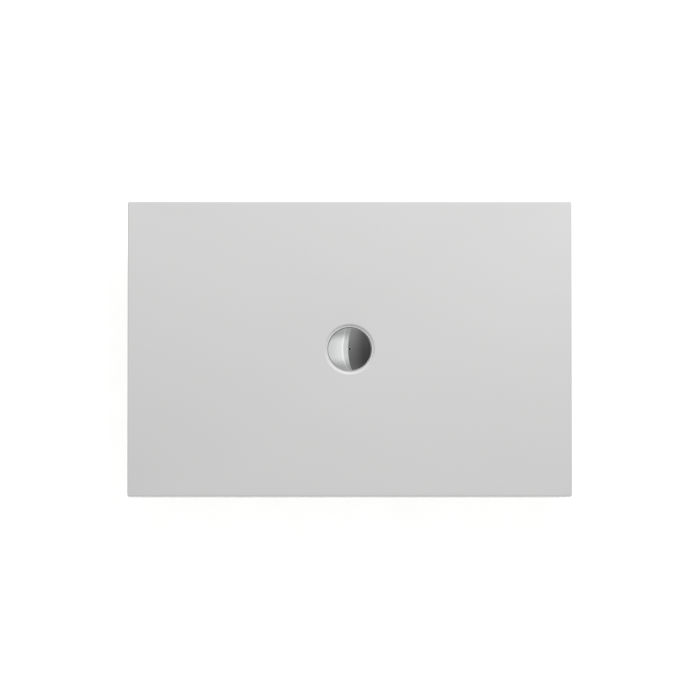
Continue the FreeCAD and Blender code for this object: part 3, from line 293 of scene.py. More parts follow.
WEAR = effect(
    "surface_wear",
    [("Colour", "Color", (0.5, 0.5, 0.5, 1)), ("Roughness", "Float", 0.4), ("Mottle", "Float", 0.05),
     ("Speckle", "Float", 0.03), ("Gloss Change", "Float", 0.1), ("Broad", "Float", 30.0),
     ("Fine", "Float", 900.0), ("Bump", "Float", 0.1), ("Depth", "Float", 0.0005)],
    [("Colour", "Color"), ("Roughness", "Float"), ("Normal", "Vector")],
    surface_wear,
)
DUST = effect(
    "edge_dust",
    [("Height", "Float", 0.12), ("Amount", "Float", 0.5)],
    [("Dust", "Float")],
    edge_dust,
)
DUST_COLOUR, DUST_DULLS = (0.42, 0.40, 0.37, 1), 0.4


def finished(name, colour, rough, wear, dust=0.0, metal=0.0):
    """A material whose colour, roughness and normal come from surface_wear, under a little dust."""
    made, shader = plain(name, colour, rough, metal)
    nodes = Nodes(made.node_tree)
    group = nodes.add("Group", {"node_tree": WEAR})
    nodes.feed(group.inputs["Colour"], (*colour, 1))
    nodes.feed(group.inputs["Roughness"], rough)
    for key, value in wear.items():
        nodes.feed(group.inputs[key], value)
    tone, gloss = group.outputs["Colour"], group.outputs["Roughness"]
    if dust:
        settled = nodes.add("Group", {"node_tree": DUST})
        nodes.feed(settled.inputs["Amount"], dust)
        tone = nodes.mix(settled.outputs["Dust"], tone, DUST_COLOUR)
        duller = nodes.maths("MULTIPLY", settled.outputs["Dust"], DUST_DULLS)
        gloss = nodes.maths("ADD", gloss, duller, True)
    nodes.feed(shader.inputs["Base Color"], tone)
    nodes.feed(shader.inputs["Roughness"], gloss)
    nodes.feed(shader.inputs["Normal"], group.outputs["Normal"])
    return made, nodes, shader


def make_acrylic():
    """Sanitary acrylic: white, half gloss, with a very faint orange peel. Its roughness stays under
    0.27, because the render's noise filter treats rougher spots in another way and they'd show."""
    wear = {"Mottle": 0.012, "Speckle": 0.0, "Gloss Change": 0.05, "Broad": 5.0, "Fine": 160.0,
            "Bump": 0.02, "Depth": 0.0004}
    return finished("white_acrylic", (0.76, 0.76, 0.757), 0.24, wear)[0]


def make_foam():
    """Cut rigid foam: pale yellow with open cells as a Voronoi crack pattern."""
    wear = {"Mottle": 0.16, "Speckle": 0.25, "Broad": 24.0, "Fine": 700.0, "Bump": 0.4, "Depth": 0.0008}
    made, nodes, shader = finished("core_foam", (0.80, 0.69, 0.40), 0.85, wear)
    where = nodes.add("TexCoord").outputs["Object"]
    cells = nodes.add("TexVoronoi", {"feature": "DISTANCE_TO_EDGE"}, Vector=where, Scale=420.0)
    bump = nodes.add("Bump", Strength=0.6, Distance=0.0006, Height=cells.outputs["Distance"])
    nodes.feed(shader.inputs["Normal"], bump.outputs["Normal"])
    return made


def make_chipboard():
    """Pressed chips: stretched Voronoi cells in several wood tones, under a thin sealer."""
    made, shader = plain("chipboard", (0.6, 0.45, 0.28), 0.6)
    nodes = Nodes(made.node_tree)
    where = nodes.add("TexCoord").outputs["Object"]
    bent = nodes.warped(where, 45.0, 0.012)
    tones, edges = [], []
    for scale, stretch in ((170.0, (1.0, 0.45, 1.0)), (260.0, (0.4, 1.0, 1.0))):
        grid = nodes.add("Mapping", Vector=bent)
        nodes.feed(grid.inputs["Scale"], stretch)
        chip = nodes.add("TexVoronoi", Vector=grid.outputs[0], Scale=scale)
        tones.append(nodes.add("SeparateColor", Color=chip.outputs["Color"]).outputs[0])
        edges.append(chip.outputs["Distance"])
    pick = nodes.between(nodes.noise(where, 220.0), 0.44, 0.56)
    tone = nodes.mix(pick, tones[0], tones[1])
    ramp = nodes.add("ValToRGB", Fac=tone)
    stops = ((0.0, (0.30, 0.18, 0.09)), (0.3, (0.47, 0.32, 0.18)), (0.65, (0.60, 0.45, 0.28)),
             (1.0, (0.74, 0.60, 0.41)))
    for place, colour in stops[1:-1]:
        ramp.color_ramp.elements.new(place).color = (*colour, 1)
    ramp.color_ramp.elements[0].color = (*stops[0][1], 1)
    ramp.color_ramp.elements[-1].color = (*stops[-1][1], 1)
    nodes.feed(shader.inputs["Base Color"], ramp.outputs["Color"])
    height = nodes.maths("ADD", edges[0], nodes.maths("MULTIPLY", tone, 0.3))
    bump = nodes.add("Bump", Strength=0.35, Distance=0.0006, Height=height)
    nodes.feed(shader.inputs["Normal"], bump.outputs["Normal"])
    nodes.feed(shader.inputs["Roughness"], nodes.between(tone, 0.0, 1.0, 0.68, 0.5))
    return made


def make_galvanised():
    """Zinc on steel: Voronoi spangle in many greys, each crystal with its own gloss."""
    wear = {"Mottle": 0.06, "Speckle": 0.05, "Gloss Change": 0.1, "Broad": 12.0, "Fine": 1200.0,
            "Bump": 0.06, "Depth": 0.0003}
    made, nodes, shader = finished("galvanised_steel", (0.62, 0.64, 0.65), 0.36, wear, metal=1.0)
    where = nodes.add("TexCoord").outputs["Object"]
    flake = nodes.add("TexVoronoi", Vector=nodes.warped(where, 60.0, 0.01), Scale=150.0)
    grey = nodes.add("SeparateColor", Color=flake.outputs["Color"])
    tone = nodes.between(grey.outputs[0], 0.0, 1.0, 0.56, 0.68)
    cool = nodes.add("CombineColor", Red=nodes.maths("MULTIPLY", tone, 0.98), Green=tone,
                     Blue=nodes.maths("MULTIPLY", tone, 1.02))
    nodes.feed(shader.inputs["Base Color"], cool.outputs["Color"])
    nodes.feed(shader.inputs["Roughness"], nodes.between(grey.outputs[1], 0.0, 1.0, 0.34, 0.46))
    return made


def make_zinc():
    """Bright zinc plating on turned steel: uneven grey, with a fine grain and dust."""
    wear = {"Mottle": 0.10, "Speckle": 0.06, "Gloss Change": 0.16, "Broad": 90.0, "Fine": 1500.0,
            "Bump": 0.08, "Depth": 0.0002}
    return finished("zinc_plating", (0.70, 0.71, 0.70), 0.30, wear, dust=0.35, metal=1.0)[0]


def make_stainless():
    """Satin stainless steel, pressed: an uneven gloss and a fine grain."""
    wear = {"Mottle": 0.05, "Speckle": 0.04, "Gloss Change": 0.12, "Broad": 50.0, "Fine": 1400.0,
            "Bump": 0.06, "Depth": 0.0002}
    return finished("stainless_steel", (0.66, 0.655, 0.64), 0.27, wear, metal=1.0)[0]


def make_chrome():
    """Polished chrome plating: almost a mirror, with the faintest uneven haze."""
    wear = {"Mottle": 0.02, "Speckle": 0.0, "Gloss Change": 0.03, "Broad": 60.0, "Fine": 300.0,
            "Bump": 0.004, "Depth": 0.0001}
    return finished("chrome_plating", (0.80, 0.805, 0.81), 0.035, wear, metal=1.0)[0]


def make_plastic(name, colour, rough, dust=0.0):
    """Moulded plastic: fine spark-eroded grain, a slightly uneven gloss."""
    wear = {"Mottle": 0.05, "Speckle": 0.03, "Gloss Change": 0.12, "Broad": 40.0, "Fine": 1600.0,
            "Bump": 0.12, "Depth": 0.0002}
    return finished(name, colour, rough, wear, dust=dust)[0]


def make_rubber(name, colour, rough, dust, cells):
    """Matt rubber; cells is how fine its grain is."""
    wear = {"Mottle": 0.2, "Speckle": 0.2, "Gloss Change": 0.1, "Broad": 30.0, "Fine": cells,
            "Bump": 0.35, "Depth": 0.0004}
    return finished(name, colour, rough, wear, dust=dust)[0]


PAINTS = {
    "white_acrylic": make_acrylic(),
    "core_foam": make_foam(),
    "chipboard": make_chipboard(),
    "strip_rubber": make_rubber("strip_rubber", (0.055, 0.055, 0.058), 0.85, 0.0, 900.0),
    "galvanised_steel": make_galvanised(),
    "zinc_plating": make_zinc(),
    "stainless_steel": make_stainless(),
    "chrome_plating": make_chrome(),
    "black_plastic": make_plastic("black_plastic", (0.030, 0.030, 0.032), 0.42, 0.5),
    "white_plastic": make_plastic("white_plastic", (0.74, 0.74, 0.72), 0.38),
    "grey_plastic": make_plastic("grey_plastic", (0.33, 0.34, 0.35), 0.40),
    "pipe_plastic": make_plastic("pipe_plastic", (0.50, 0.51, 0.515), 0.34),
    "black_rubber": make_rubber("black_rubber", (0.028, 0.028, 0.029), 0.70, 0.45, 1300.0),
}


# ---------------------------------------------------------------- tray


def tray_angles():
    """Angles for the tray's contours: even steps, and closer ones where the corners lie."""
    even = turns(288)
    corner = math.atan2(HALF_WIDE - CORNER / 2, HALF_LONG - CORNER / 2)
    near = np.radians(np.linspace(-1.3, 1.3, 27))
    wide = np.radians(np.linspace(-6.0, 6.0, 25))
    close = np.concatenate([near, wide])
    middles = (corner, math.pi - corner, math.pi + corner, TAU - corner)
    angles = np.concatenate([even, *[middle + close for middle in middles]])
    return np.unique(np.round(np.mod(angles, TAU), 6))


def contour_reach(angles, long, wide, corner):
    """How far a ray from the middle runs until it meets a rounded rectangle of these half lengths.
    It meets a straight side at long / cos or wide / sin, or else the corner's circle, where the
    distance solves the circle's equation along the ray."""
    across, up = np.abs(np.cos(angles)), np.abs(np.sin(angles))
    side = long / np.maximum(across, 1e-9)
    end = wide / np.maximum(up, 1e-9)
    straight = np.minimum(side, end)
    centre_x, centre_y = long - corner, wide - corner
    along = across * centre_x + up * centre_y
    under = np.maximum(along**2 - centre_x**2 - centre_y**2 + corner**2, 0)
    bent = along + np.sqrt(under)
    in_corner = (straight * across > centre_x) & (straight * up > centre_y)
    return np.where(in_corner, bent, straight)


def dish_rows(drop=0.0, steps=56):
    """The dish as contours from the rim inwards. At share s of the way in, the contour's half
    lengths run evenly from the rim's to the lip's, and its corner radius swells between them, so
    that no hip shows. The level falls as a smooth curve that is level at the rim and at the lip."""
    share = np.linspace(0, 1, steps + 1)
    out = 1 - share
    long = LIP_RADIUS + (DISH_LONG - LIP_RADIUS) * out
    wide = LIP_RADIUS + (DISH_WIDE - LIP_RADIUS) * out
    corner = wide * (1 - (1 - DISH_CORNER / DISH_WIDE) * out**1.6)
    eased = share + 0.05 * np.sin(TAU * share)
    fall = (1 - eased) * 0.86 + 0.14 * (1 - share) ** 2 * (1 + 2 * share)
    level = LIP - drop + (RIM - LIP) * fall
    return np.column_stack([long, wide, corner, level])


def circle_rows(outline):
    """An outline of (radius, height) as contours whose half lengths and corner all are the radius."""
    radius, level = outline[:, 0], outline[:, 1]
    return np.column_stack([radius, radius, radius, level])


def inset_rows(inset, level):
    """Contours of the tray's outer edge, moved in by inset. The corners' radius shrinks as much,
    but not under 0.8 mm."""
    inset = np.asarray(inset, float)
    return np.column_stack([HALF_LONG - inset, HALF_WIDE - inset, np.maximum(CORNER - inset, 0.8), level])


def tray_skin():
    """The shell as one closed run of contours: waste hole, shelf, recess wall, ledge, the swell up
    to the lip, dish, rim, apron, and back along the underside."""
    corner = WALL - SHELF_ROUND
    top = profile(
        (HOLE, SHELF - SHELL),
        (HOLE, SHELF - HOLE_ROUND),
        arc((HOLE + HOLE_ROUND, SHELF - HOLE_ROUND), HOLE_ROUND, 180, 90, 3),
        arc((corner, SHELF + SHELF_ROUND), SHELF_ROUND, -90, 0, 10),
        arc((WALL + WALL_ROUND, LEDGE - WALL_ROUND), WALL_ROUND, 180, 90, 8),
        arc((WALL + WALL_ROUND, LEDGE + SWELL), SWELL, -90, SWELL_TILT - 90, 14)[1:],
        arc((SWELL_TOP, LIP - SWELL), SWELL, 90 + SWELL_TILT, 90, 14)[1:],
    )
    dish = dish_rows()[::-1]
    edge = arc((RIM_ROUND, RIM - RIM_ROUND), RIM_ROUND, 90, 180, 8)
    rim = inset_rows(edge[:, 0], edge[:, 1])
    soft = 0.6
    apron_in = [0, 0, soft, SHELL - soft, SHELL, SHELL]
    apron = inset_rows(apron_in, [140, APRON + soft, APRON, APRON, APRON + soft, 150])
    under_rim = inset_rows([SHELL, SHELL + 1], [RIM - SHELL - 1, RIM - SHELL])
    under = dish_rows(SHELL)
    low = profile(
        (WALL + SHELL, LEDGE - SHELL),
        arc((corner, SHELF + SHELF_ROUND), SHELF_ROUND + SHELL, 0, -90, 8),
    )
    rows = np.vstack(
        [circle_rows(top), dish[1:], rim, apron, under_rim, under, circle_rows(low)]
    )
    angles = tray_angles()
    reach = np.stack([contour_reach(angles, *row[:3]) for row in rows])
    grid = polar(reach, angles, rows[:, 3:])
    piece("tray_skin", [grid], "tray", "white_acrylic", ["tray_shell"], closed_rows=(0,), sharp=50)


# ---------------------------------------------------------------- waste


# The cover: the dome's radius and the level of its edge, the rolled edge's radius and how far out
# its middle lies, the plate's thickness, and the lifting hole with its softened rim.
DOME, DOME_EDGE = 280.0, 149.7
ROLL, ROLL_OUT = 2.6, 56.4
PLATE = 1.2
LIFT_HOLE, LIFT_ROUND = 3.0, 0.35
SHOULDER = DOME * ROLL_OUT / (DOME - ROLL)
DOME_MIDDLE = DOME_EDGE - math.sqrt(DOME**2 - SHOULDER**2)


def dome_rows(first, last, inside=0.0, steps=40):
    """Points on the cover's dome between two radii: height = middle + sqrt(R^2 - r^2)."""
    radius = np.linspace(first, last, steps + 1)
    reach = DOME - inside
    return np.column_stack([radius, DOME_MIDDLE + np.sqrt(reach**2 - radius**2)])


def waste_cover():
    """The chrome cover: dome, rolled edge, skirt, and the lifting hole with softened rims."""
    tilt = math.degrees(math.asin(SHOULDER / DOME))
    crown = DOME_MIDDLE + math.sqrt(DOME**2 - LIFT_HOLE**2)
    under = DOME_MIDDLE + math.sqrt((DOME - PLATE) ** 2 - LIFT_HOLE**2)
    outline = profile(
        arc((LIFT_HOLE + LIFT_ROUND, crown - LIFT_ROUND), LIFT_ROUND, 180, 90, 4),
        dome_rows(3.6, SHOULDER - 0.05),
        arc((ROLL_OUT, DOME_EDGE - ROLL * math.cos(math.radians(tilt))), ROLL, 90 - tilt, 0, 16),
        arc((58.7, 146.8), 0.3, 0, -90, 3),
        arc((58.1, 146.8), 0.3, -90, -180, 3),
        (57.8, 148.2),
        dome_rows(57.0, 3.4, PLATE, 24),
        (LIFT_HOLE, under + 0.2),
    )
    piece("cover_dome", [around(outline, 256)], "cover", "chrome_plating", ["waste_cover"],
          closed_rows=(0,), sharp=60)


def cover_spider():
    """The carrier under the cover: hollow stem with a snap bead, boss, ring, arms and legs."""
    stem = profile(
        (3.3, 125.3), (5.2, 125.3), arc((5.0, 126.3), 1.0, -60, 0, 3), (5.6, 129.2), (6.0, 130.0),
        (6.0, 144.6), arc((6.7, 144.6), 0.7, 180, 90, 3), (15.6, 145.3), (16, 145.7), (16, 152.1),
        (15.6, 152.5), (9, 152.5), (8.6, 152.1), (8.6, 150.5), (3.3, 150.5),
    )
    ring = profile((45, 145.6), (45.3, 145.3), (49.7, 145.3), (50, 145.6), (50, 147), (49.7, 147.3),
                   (45.3, 147.3), (45, 147))
    grids = [around(stem, 64), around(ring, 96)]
    for degrees in THIRDS:
        way = math.radians(degrees)
        arm = boxes((15, -3, 145.3), (46, 3, 147.3))
        rib = boxes((15, -0.8, 147.2), (44, 0.8, 148.2))
        leg = profile((0, 143), (2.0, 143), (2.4, 143.4), (2.4, 145.6), (0, 145.6))
        grids += [arm @ spin(way), rib @ spin(way)]
        grids.append(pointing(around(leg, 20), UP, (47.5 * math.cos(way), 47.5 * math.sin(way), 0)))
    piece("cover_spider", grids, "cover", "grey_plastic", ["cover_carrier"], closed_rows=(0, 1))


def screw_places():
    """The (x, y) places of the flange's three screws: evenly spaced on a circle."""
    turn = turns(3)
    return np.stack([SCREW_RING * np.cos(turn), SCREW_RING * np.sin(turn)], 1)


def waste_parts():
    """The flange, its screws and seals, and the dip tube in the trap: outlines turned about the
    height axis, with three straight ribs in the tube."""
    flange = profile(
        (32.0, 133.0), (32.0, 123.3), (32.3, 123.0), (33.1, 123.0), (33.4, 123.3),
        arc((34.4, 130.5), 1.0, 180, 90, 3), (44.0, 131.5), arc((44.0, 132.5), 1.0, -90, 0, 3),
        arc((45.8, 140.7), 0.8, 180, 90, 3), (56.8, 141.5), (57.0, 141.7),
        arc((56.2, 142.2), 0.8, 0, 90, 5), arc((44.8, 142.0), 1.0, 90, 180, 4),
        arc((42.8, 134.0), 1.0, 0, -90, 4),
    )
    piece("flange_pressing", [around(flange, 160)], "tray", "stainless_steel", ["waste_flange"],
          closed_rows=(0,))
    screw = pan_screw(shank=2.0, head=3.6, high=2.2, reach=14.0, tip=1.2)
    screws = [pointing(screw, UP, (x, y, 133.0)) for x, y in screw_places()]
    piece("flange_bolts", screws, "tray", "stainless_steel", ["flange_screws"])
    seals = (
        ("seal_above", 46.5, 56.5, 140.0, 141.5, "upper_seal"),
        ("seal_below", 48.5, 59.0, 133.0, 136.0, "lower_seal"),
    )
    soft = 0.3
    for name, inner, outer, low, top, node in seals:
        ring = profile(
            (inner + soft, low), (outer - soft, low), arc((outer - soft, low + soft), soft, -90, 0, 2),
            arc((outer - soft, top - soft), soft, 0, 90, 2), (inner + soft, top),
            (inner, top - soft), (inner, low + soft),
        )
        piece(name, [around(ring, 128)], "tray", "black_rubber", [node], closed_rows=(0,))
    tube = profile(
        (29, 45.6), (29.6, 45), (31.1, 45), (31.7, 45.6), (31.7, 125.7), (31.4, 126), (29.9, 126),
        (29.9, 128.4), (31.4, 128.4), (31.7, 128.7), (31.7, 133), (34.7, 133), (35, 133.3),
        arc((34.4, 134.4), 0.6, 0, 90, 4), arc((29.8, 134.2), 0.8, 90, 180, 4),
    )
    hub = profile((6.3, 123.4), (6.7, 123), (9.1, 123), (9.5, 123.4), (9.5, 132.6), (9.1, 133),
                  (6.7, 133), (6.3, 132.6))
    grids = [around(tube, 128), around(hub, 64)]
    for degrees in THIRDS:
        grids.append(boxes((9.0, -2, 123), (29.5, 2, 133)) @ spin(math.radians(degrees)))
    piece("dip_tube", grids, "trap_insert", "grey_plastic", ["trap_insert"], closed_rows=(0, 1))
    ring = arc((30.95, 127.2), 1.0, 0, 330, 11)
    piece("dip_ring", [around(ring, 96)], "trap_insert", "black_rubber", ["insert_seal"],
          closed_rows=(0,))


def pan_screw(shank, head, high, reach, tip, thread=1.0, sides=48):
    """A pan-head screw about +Z with its shank down: the head's edge and crown are an arc, the
    shank is wavy like a thread and narrows over its tip, and the cross recess is pressed into the
    crown as a dip of the height where either |x| or |y| is small."""
    turn = turns(sides)
    edge, bow = high / 3, high * 2 / 3
    crown = profile((head, 0), (head, edge), arc((head - bow, edge), bow, 0, 90, 5))
    inner = np.linspace(head - bow, 0, 9)[1:]
    crown = np.vstack([crown, np.column_stack([inner, np.full(len(inner), high)])])
    grid = around(crown, sides)
    x, y = grid[..., 0], grid[..., 1]
    recess = (np.minimum(np.abs(x), np.abs(y)) < 0.17 * head) & (np.hypot(x, y) < 0.55 * head)
    grid[..., 2] = np.where(recess, high * 0.35, grid[..., 2])
    levels = np.arange(-0.2, -reach + tip, -thread / 6)
    wave = 0.5 + 0.5 * np.cos(TAU * (levels[:, None] / thread) + turn[None, :])
    radius = shank - 0.25 * min(shank, 1.6) * wave**2 * (levels[:, None] < -1.0)
    rod = polar(radius, turn, levels[:, None])
    point = around(profile((shank * 0.6, -reach + tip), (shank * 0.25, -reach), (0, -reach)), sides)
    foot = around(profile((head, 0), (shank, 0), (shank, -0.2)), sides)
    return np.vstack([grid[::-1], foot[1:], rod[1:], point])


def trap_pot():
    """The pot with its bosses and gussets, and the socket laid along +Y, whose thread is a cosine
    of the length along it plus the angle round it."""
    pot = profile(
        (0, 33), (39.5, 33), arc((40.0, 38.5), 5.5, -90, 0, 8), (45.5, 132.4), (46.1, 133), (59.4, 133),
        (60, 132.4), (60, 129.6), (59.4, 129), arc((50.0, 127), 2.0, 90, 180, 4),
        (48, 60.4), (48.6, 60), (48.6, 56), (48, 55.6),
        arc((40.0, 38), 8, 0, -90, 10), (22, 30), (21, 30.8), (0, 30.8),
    )
    turn = turns(72)
    levels = np.linspace(74, 97.4, 60)
    ridge = 0.5 + 0.5 * np.cos(TAU * levels[:, None] / 3.0 + turn[None, :])
    radius = 24.0 - 0.9 * (1 - ridge) * (levels[:, None] > 83)
    thread = polar(radius, turn, levels[:, None])
    neck = around(profile((24, 40), (24, 74)), 72)
    mouth = around(profile((23.2, 98), (20.6, 98), (20.3, 97.6), (20.3, 72), (18.2, 72), (18.2, 44)), 72)
    socket = pointing(np.vstack([neck, thread[1:], mouth]), REAR, (0, 0, OUTLET))
    grids = [around(pot, 128), socket]
    for x, y in screw_places():
        boss = profile((0, 115.5), (4.0, 115.5), (4.2, 115.7), (4.2, 131.3), (4.0, 131.5), (2.05, 131.5),
                       (2.05, 117.5), (0, 117.5))
        grids.append(pointing(around(boss, 32), UP, (x, y, 0)))
    for step in range(6):
        grids.append(boxes((47, -1, 117), (57.5, 1, 129.2)) @ spin(math.radians(30 + 60 * step)))
    piece("trap_pot", grids, "tray", "white_plastic", ["trap_body"])


def union_nut():
    """The outlet's nut along +Y: the radius swells into ten rounded grips, a power of a cosine."""
    turn = turns(240)
    grips = 10
    grip = np.clip(np.cos(turn * grips - math.pi / 2 * grips), 0, 1) ** 0.6
    rows = profile((24.1, 84), (28.4, 84), (28.9, 84.5), (28.9, 86), (28.9, 104), (28.9, 105.3),
                   (28.3, 106), (20.5, 106), (20.3, 105.7), (20.3, 102.2), (24.1, 102.2))
    swell = np.array([0, 0, 0.4, 1, 1, 0.4, 0, 0, 0, 0, 0], float)[:, None]
    grid = polar(rows[:, :1] + 2.0 * swell * grip, turn, rows[:, 1:])
    piece("union_nut", [pointing(grid, REAR, (0, 0, OUTLET))], "tray", "white_plastic",
          ["outlet_nut"], closed_rows=(0,))
    seal = profile((20.3, 98), (23.8, 98), (23.8, 102), (20.3, 102))
    piece("union_seal", [pointing(around(seal, 72), REAR, (0, 0, OUTLET))], "tray", "black_rubber",
          ["outlet_seal"], closed_rows=(0,))


def pipe_bend():
    """The bend: a ring of radius rho carried along a line that turns 45 degrees on a 35 mm arc.
    Each ring is centre + rho (cos t times the sideways direction + sin t times up)."""
    turn = turns(96)
    start, bend, corner = 112, 35, math.pi / 4
    tail = start + bend * corner
    straight = [74, 75, 106, 107, 108.6, 110, 111.2]
    curve = np.linspace(start, tail, 25)
    end = [tail + 1, tail + 20, tail + 36, tail + 39, tail + 40]
    length = np.concatenate([straight, curve, end])
    bent = np.clip((length - start) / bend, 0, corner)
    beyond = np.maximum(length - tail, 0)
    x = bend * (1 - np.cos(bent)) + beyond * math.sin(corner)
    y = np.minimum(length, start) + bend * np.sin(bent) + beyond * math.cos(corner)
    side = np.stack([np.cos(bent), -np.sin(bent), np.zeros_like(bent)], 1)
    centre = np.stack([x, y, np.full_like(x, OUTLET)], 1)

    def rings(radius):
        radius = np.asarray(radius, float)[:, None, None]
        return (centre[:, None] + radius * (np.cos(turn)[None, :, None] * side[:, None]
                + np.sin(turn)[None, :, None] * np.array([0, 0, 1.0])))

    outer = np.full(len(length), 20.0)
    outer[0] = 19.2
    outer[-1] = 19.0
    inner = np.full(len(length), 18.2)
    grid = np.vstack([rings(outer), rings(inner)[::-1]])
    collar = profile((19.5, 107), (22.6, 107), (23, 107.4), (23, 109.6), (22.6, 110), (20.0, 110.6),
                     (19.5, 110))
    rim = pointing(around(collar, 96), REAR, (0, 0, OUTLET))
    piece("pipe_bend", [grid, rim], "outlet_bend", "pipe_plastic", ["outlet_bend"],
          closed_rows=(0, 1))


# ---------------------------------------------------------------- feet


def threaded_rod(radius, low, top, depth=0.62, sides=48, per_turn=10):
    """An M12 thread: at height z and angle t the radius dips by depth times a rounded saw of the
    phase z / pitch + t / one turn, and fades out over the last pitch at both ends."""
    turn = turns(sides)
    rows = np.arange(low, top, PITCH / per_turn)
    phase = np.mod(rows[:, None] / PITCH + turn[None, :] / TAU, 1.0)
    valley = np.clip(1.25 - 2.9 * np.abs(phase - 0.5), 0, 1)
    fade = np.clip((rows - low) / PITCH, 0, 1) * np.clip((top - rows) / (PITCH * 0.7), 0.25, 1)
    return polar(radius - depth * valley * fade[:, None], turn, rows[:, None])


def foot(name, x, y):
    """One foot: the rubber cup with grooves under it, the plate with eight ribs that rise towards
    its neck, and the screw with its spanner hexagon."""
    sole = profile(
        (0, 0.6), (8, 0.6), (8.6, 0), (13, 0), (13.6, 0.6), (15.4, 0.6), (16, 0), (21, 0), (21.6, 0.6),
        (23.4, 0.6), (24, 0), (29, 0), arc((29, 1), 1, -90, 0, 5), (30, 4.6), (29.6, 5), (28.6, 5),
        (28.2, 4.6), (28.2, 3), (0, 3),
    )
    piece(f"foot_{name}_cup", [pointing(around(sole, 72), UP, (x, y, 0))], f"foot_{name}",
          "black_rubber", [f"foot_{name}_sole"])
    plate = profile(
        (0, 3), (28.1, 3), (28.1, 6.5), arc((26.6, 6.5), 1.5, 0, 90, 5), arc((16, 12), 4, -90, -180, 6),
        (12, 22), arc((10, 22), 2, 0, 90, 5), (5.2, 24), (4.8, 23.6), (4.8, 14.3), (8.3, 14.3),
        (8.3, 9.95), (0, 9.95),
    )
    grids = [pointing(around(plate, 72), UP, (x, y, 0))]
    rib_top, neck_top = 8.6, 17.0
    rib = boxes((11.5, -0.9, 7.6), (24.5, 0.9, rib_top))
    beside_neck = (rib[..., 0] < 12) & (rib[..., 2] > 8)
    rib[..., 2] = np.where(beside_neck, neck_top, rib[..., 2])
    rib[3, :, 2] = (neck_top + rib_top) / 2
    for step in range(8):
        grids.append(pointing(rib @ spin(TAU * (step + 0.5) / 8), UP, (x, y, 0)))
    piece(f"foot_{name}_plate", grids, f"foot_{name}", "black_plastic", [f"foot_{name}_pad"])
    ankle = around(profile((0, 10), (7, 10), (8, 11), (8, 14), (4.5, 14), (4.5, 26)), 48)
    drive = flats(profile((4.5, 26), (6.9, 26), (8.083, 26.7), (8.083, 33.3), (6.9, 34), (5.5, 34)), 14)
    rod = threaded_rod(6.0, 34.0, 97.0)
    top = around(profile((5.2, 96.6), (4.8, 97), (0, 97)), 48)
    grids = [ankle, drive, np.vstack([around(profile((5.5, 34)), 48), rod, top])]
    grids = [pointing(grid, UP, (x, y, 0)) for grid in grids]
    piece(f"foot_{name}_screw", grids, f"spindle_{name}", "zinc_plating", [f"foot_{name}_spindle"])


def nuts():
    """The rivet nuts in the rails and the chamfered hexagon nuts under them."""
    rivets, locks = [], []
    for x, y in FEET.values():
        rivet = profile(
            (6.05, 82), (6.5, 81.5), (10.6, 81.5), (11.05, 81.9), (11.05, 82.6), (10.6, 83),
            (7.95, 83), (7.95, 85), (9.3, 85), arc((8.6, 86.6), 0.95, -60, 60, 4), (7.95, 88.2),
            (7.95, 94.7), (7.6, 95), (6.4, 95), (6.05, 94.6),
        )
        rivets.append(pointing(around(rivet, 48), UP, (x, y, 0)))
        nut = profile(
            (6.05, 74.1), (6.7, 73.5), (8.9, 73.5), (10.39, 74.36), (10.39, 80.64), (8.9, 81.5),
            (6.7, 81.5), (6.05, 80.9),
        )
        locks.append(pointing(flats(nut, 18, turned=0.25), UP, (x, y, 0)))
    every = range(len(rivets))
    piece("rivet_inserts", rivets, "tray", "zinc_plating", ["rivet_nuts"], closed_rows=every)
    piece("foot_lock_nuts", locks, "tray", "zinc_plating", ["lock_nuts"], closed_rows=every)


def rail_fixings():
    """The pan-head screws up into the board, with cross recesses that face the floor."""
    in_long = [(side * x, end * LONG_RAIL) for end in (-1, 1) for x in (150.0, 430.0) for side in (-1, 1)]
    in_cross = [(side * 330.0, end * 100.0) for side in (-1, 1) for end in (-1, 1)]
    screw = pan_screw(shank=2.5, head=5.0, high=2.6, reach=53.0, tip=5.0, thread=1.8, sides=28)
    flipped = screw * np.array([1, -1, -1])
    grids = [pointing(flipped, UP, (x, y, RAIL_LOW)) for x, y in in_long + in_cross]
    piece("board_screws", grids, "tray", "zinc_plating", ["rail_screws"])


def bracket_fixings():
    """The washer-face hexagon screws, two through each corner bracket."""
    head = flats(profile((0, 4.5), (4.4, 4.5), (5.77, 3.7), (5.77, 1.3), (5.2, 1.0)), 10, 96)
    washer = profile((5.2, 1.0), (6.2, 1.0), (6.5, 0.7), (6.5, 0), (2.9, 0), (2.9, -10.5), (1.4, -12),
                     (0, -12))
    shape = np.vstack([head, around(washer, 96)])
    out_arm, out_plate, level = 18, 3, 103.0
    grids = []
    for across in (-1, 1):
        for along in (-1, 1):
            corner_x, corner_y = across * 315.0, along * 235.0
            into_long = np.stack([shape[..., 0], -along * shape[..., 2], shape[..., 1]], -1)
            into_cross = np.stack([-across * shape[..., 2], shape[..., 0], shape[..., 1]], -1)
            on_long = (corner_x - across * out_arm, corner_y - along * out_plate, level)
            on_cross = (corner_x - across * out_plate, corner_y - along * out_arm, level)
            grids += [into_long + np.array(on_long), into_cross + np.array(on_cross)]
    piece("bracket_bolts", grids, "tray", "zinc_plating", ["bracket_screws"])


# ---------------------------------------------------------------- studio


# The stage, in metres: how far the floor and the card over the tray reach, the card's level and the
# unit of its pattern. Then how strongly the floor and the world glow.
FLOOR_REACH, CARD_REACH, CARD_LEVEL, CARD_SCALE = 60.0, 34.0, 20.0, 17.6
FLOOR_GLOW, WORLD_FILL = 0.90, 0.288


def stage_material(name, build):
    """A material for the floor or the card. Neither is sampled as a lamp: rays only find its glow
    where they meet it."""
    made = bpy.data.materials.new(name)
    made.cycles.emission_sampling = "NONE"
    made.use_nodes = True
    made.node_tree.nodes.clear()
    nodes = Nodes(made.node_tree)
    out = nodes.add("OutputMaterial")
    nodes.feed(out.inputs["Surface"], build(nodes))
    return made


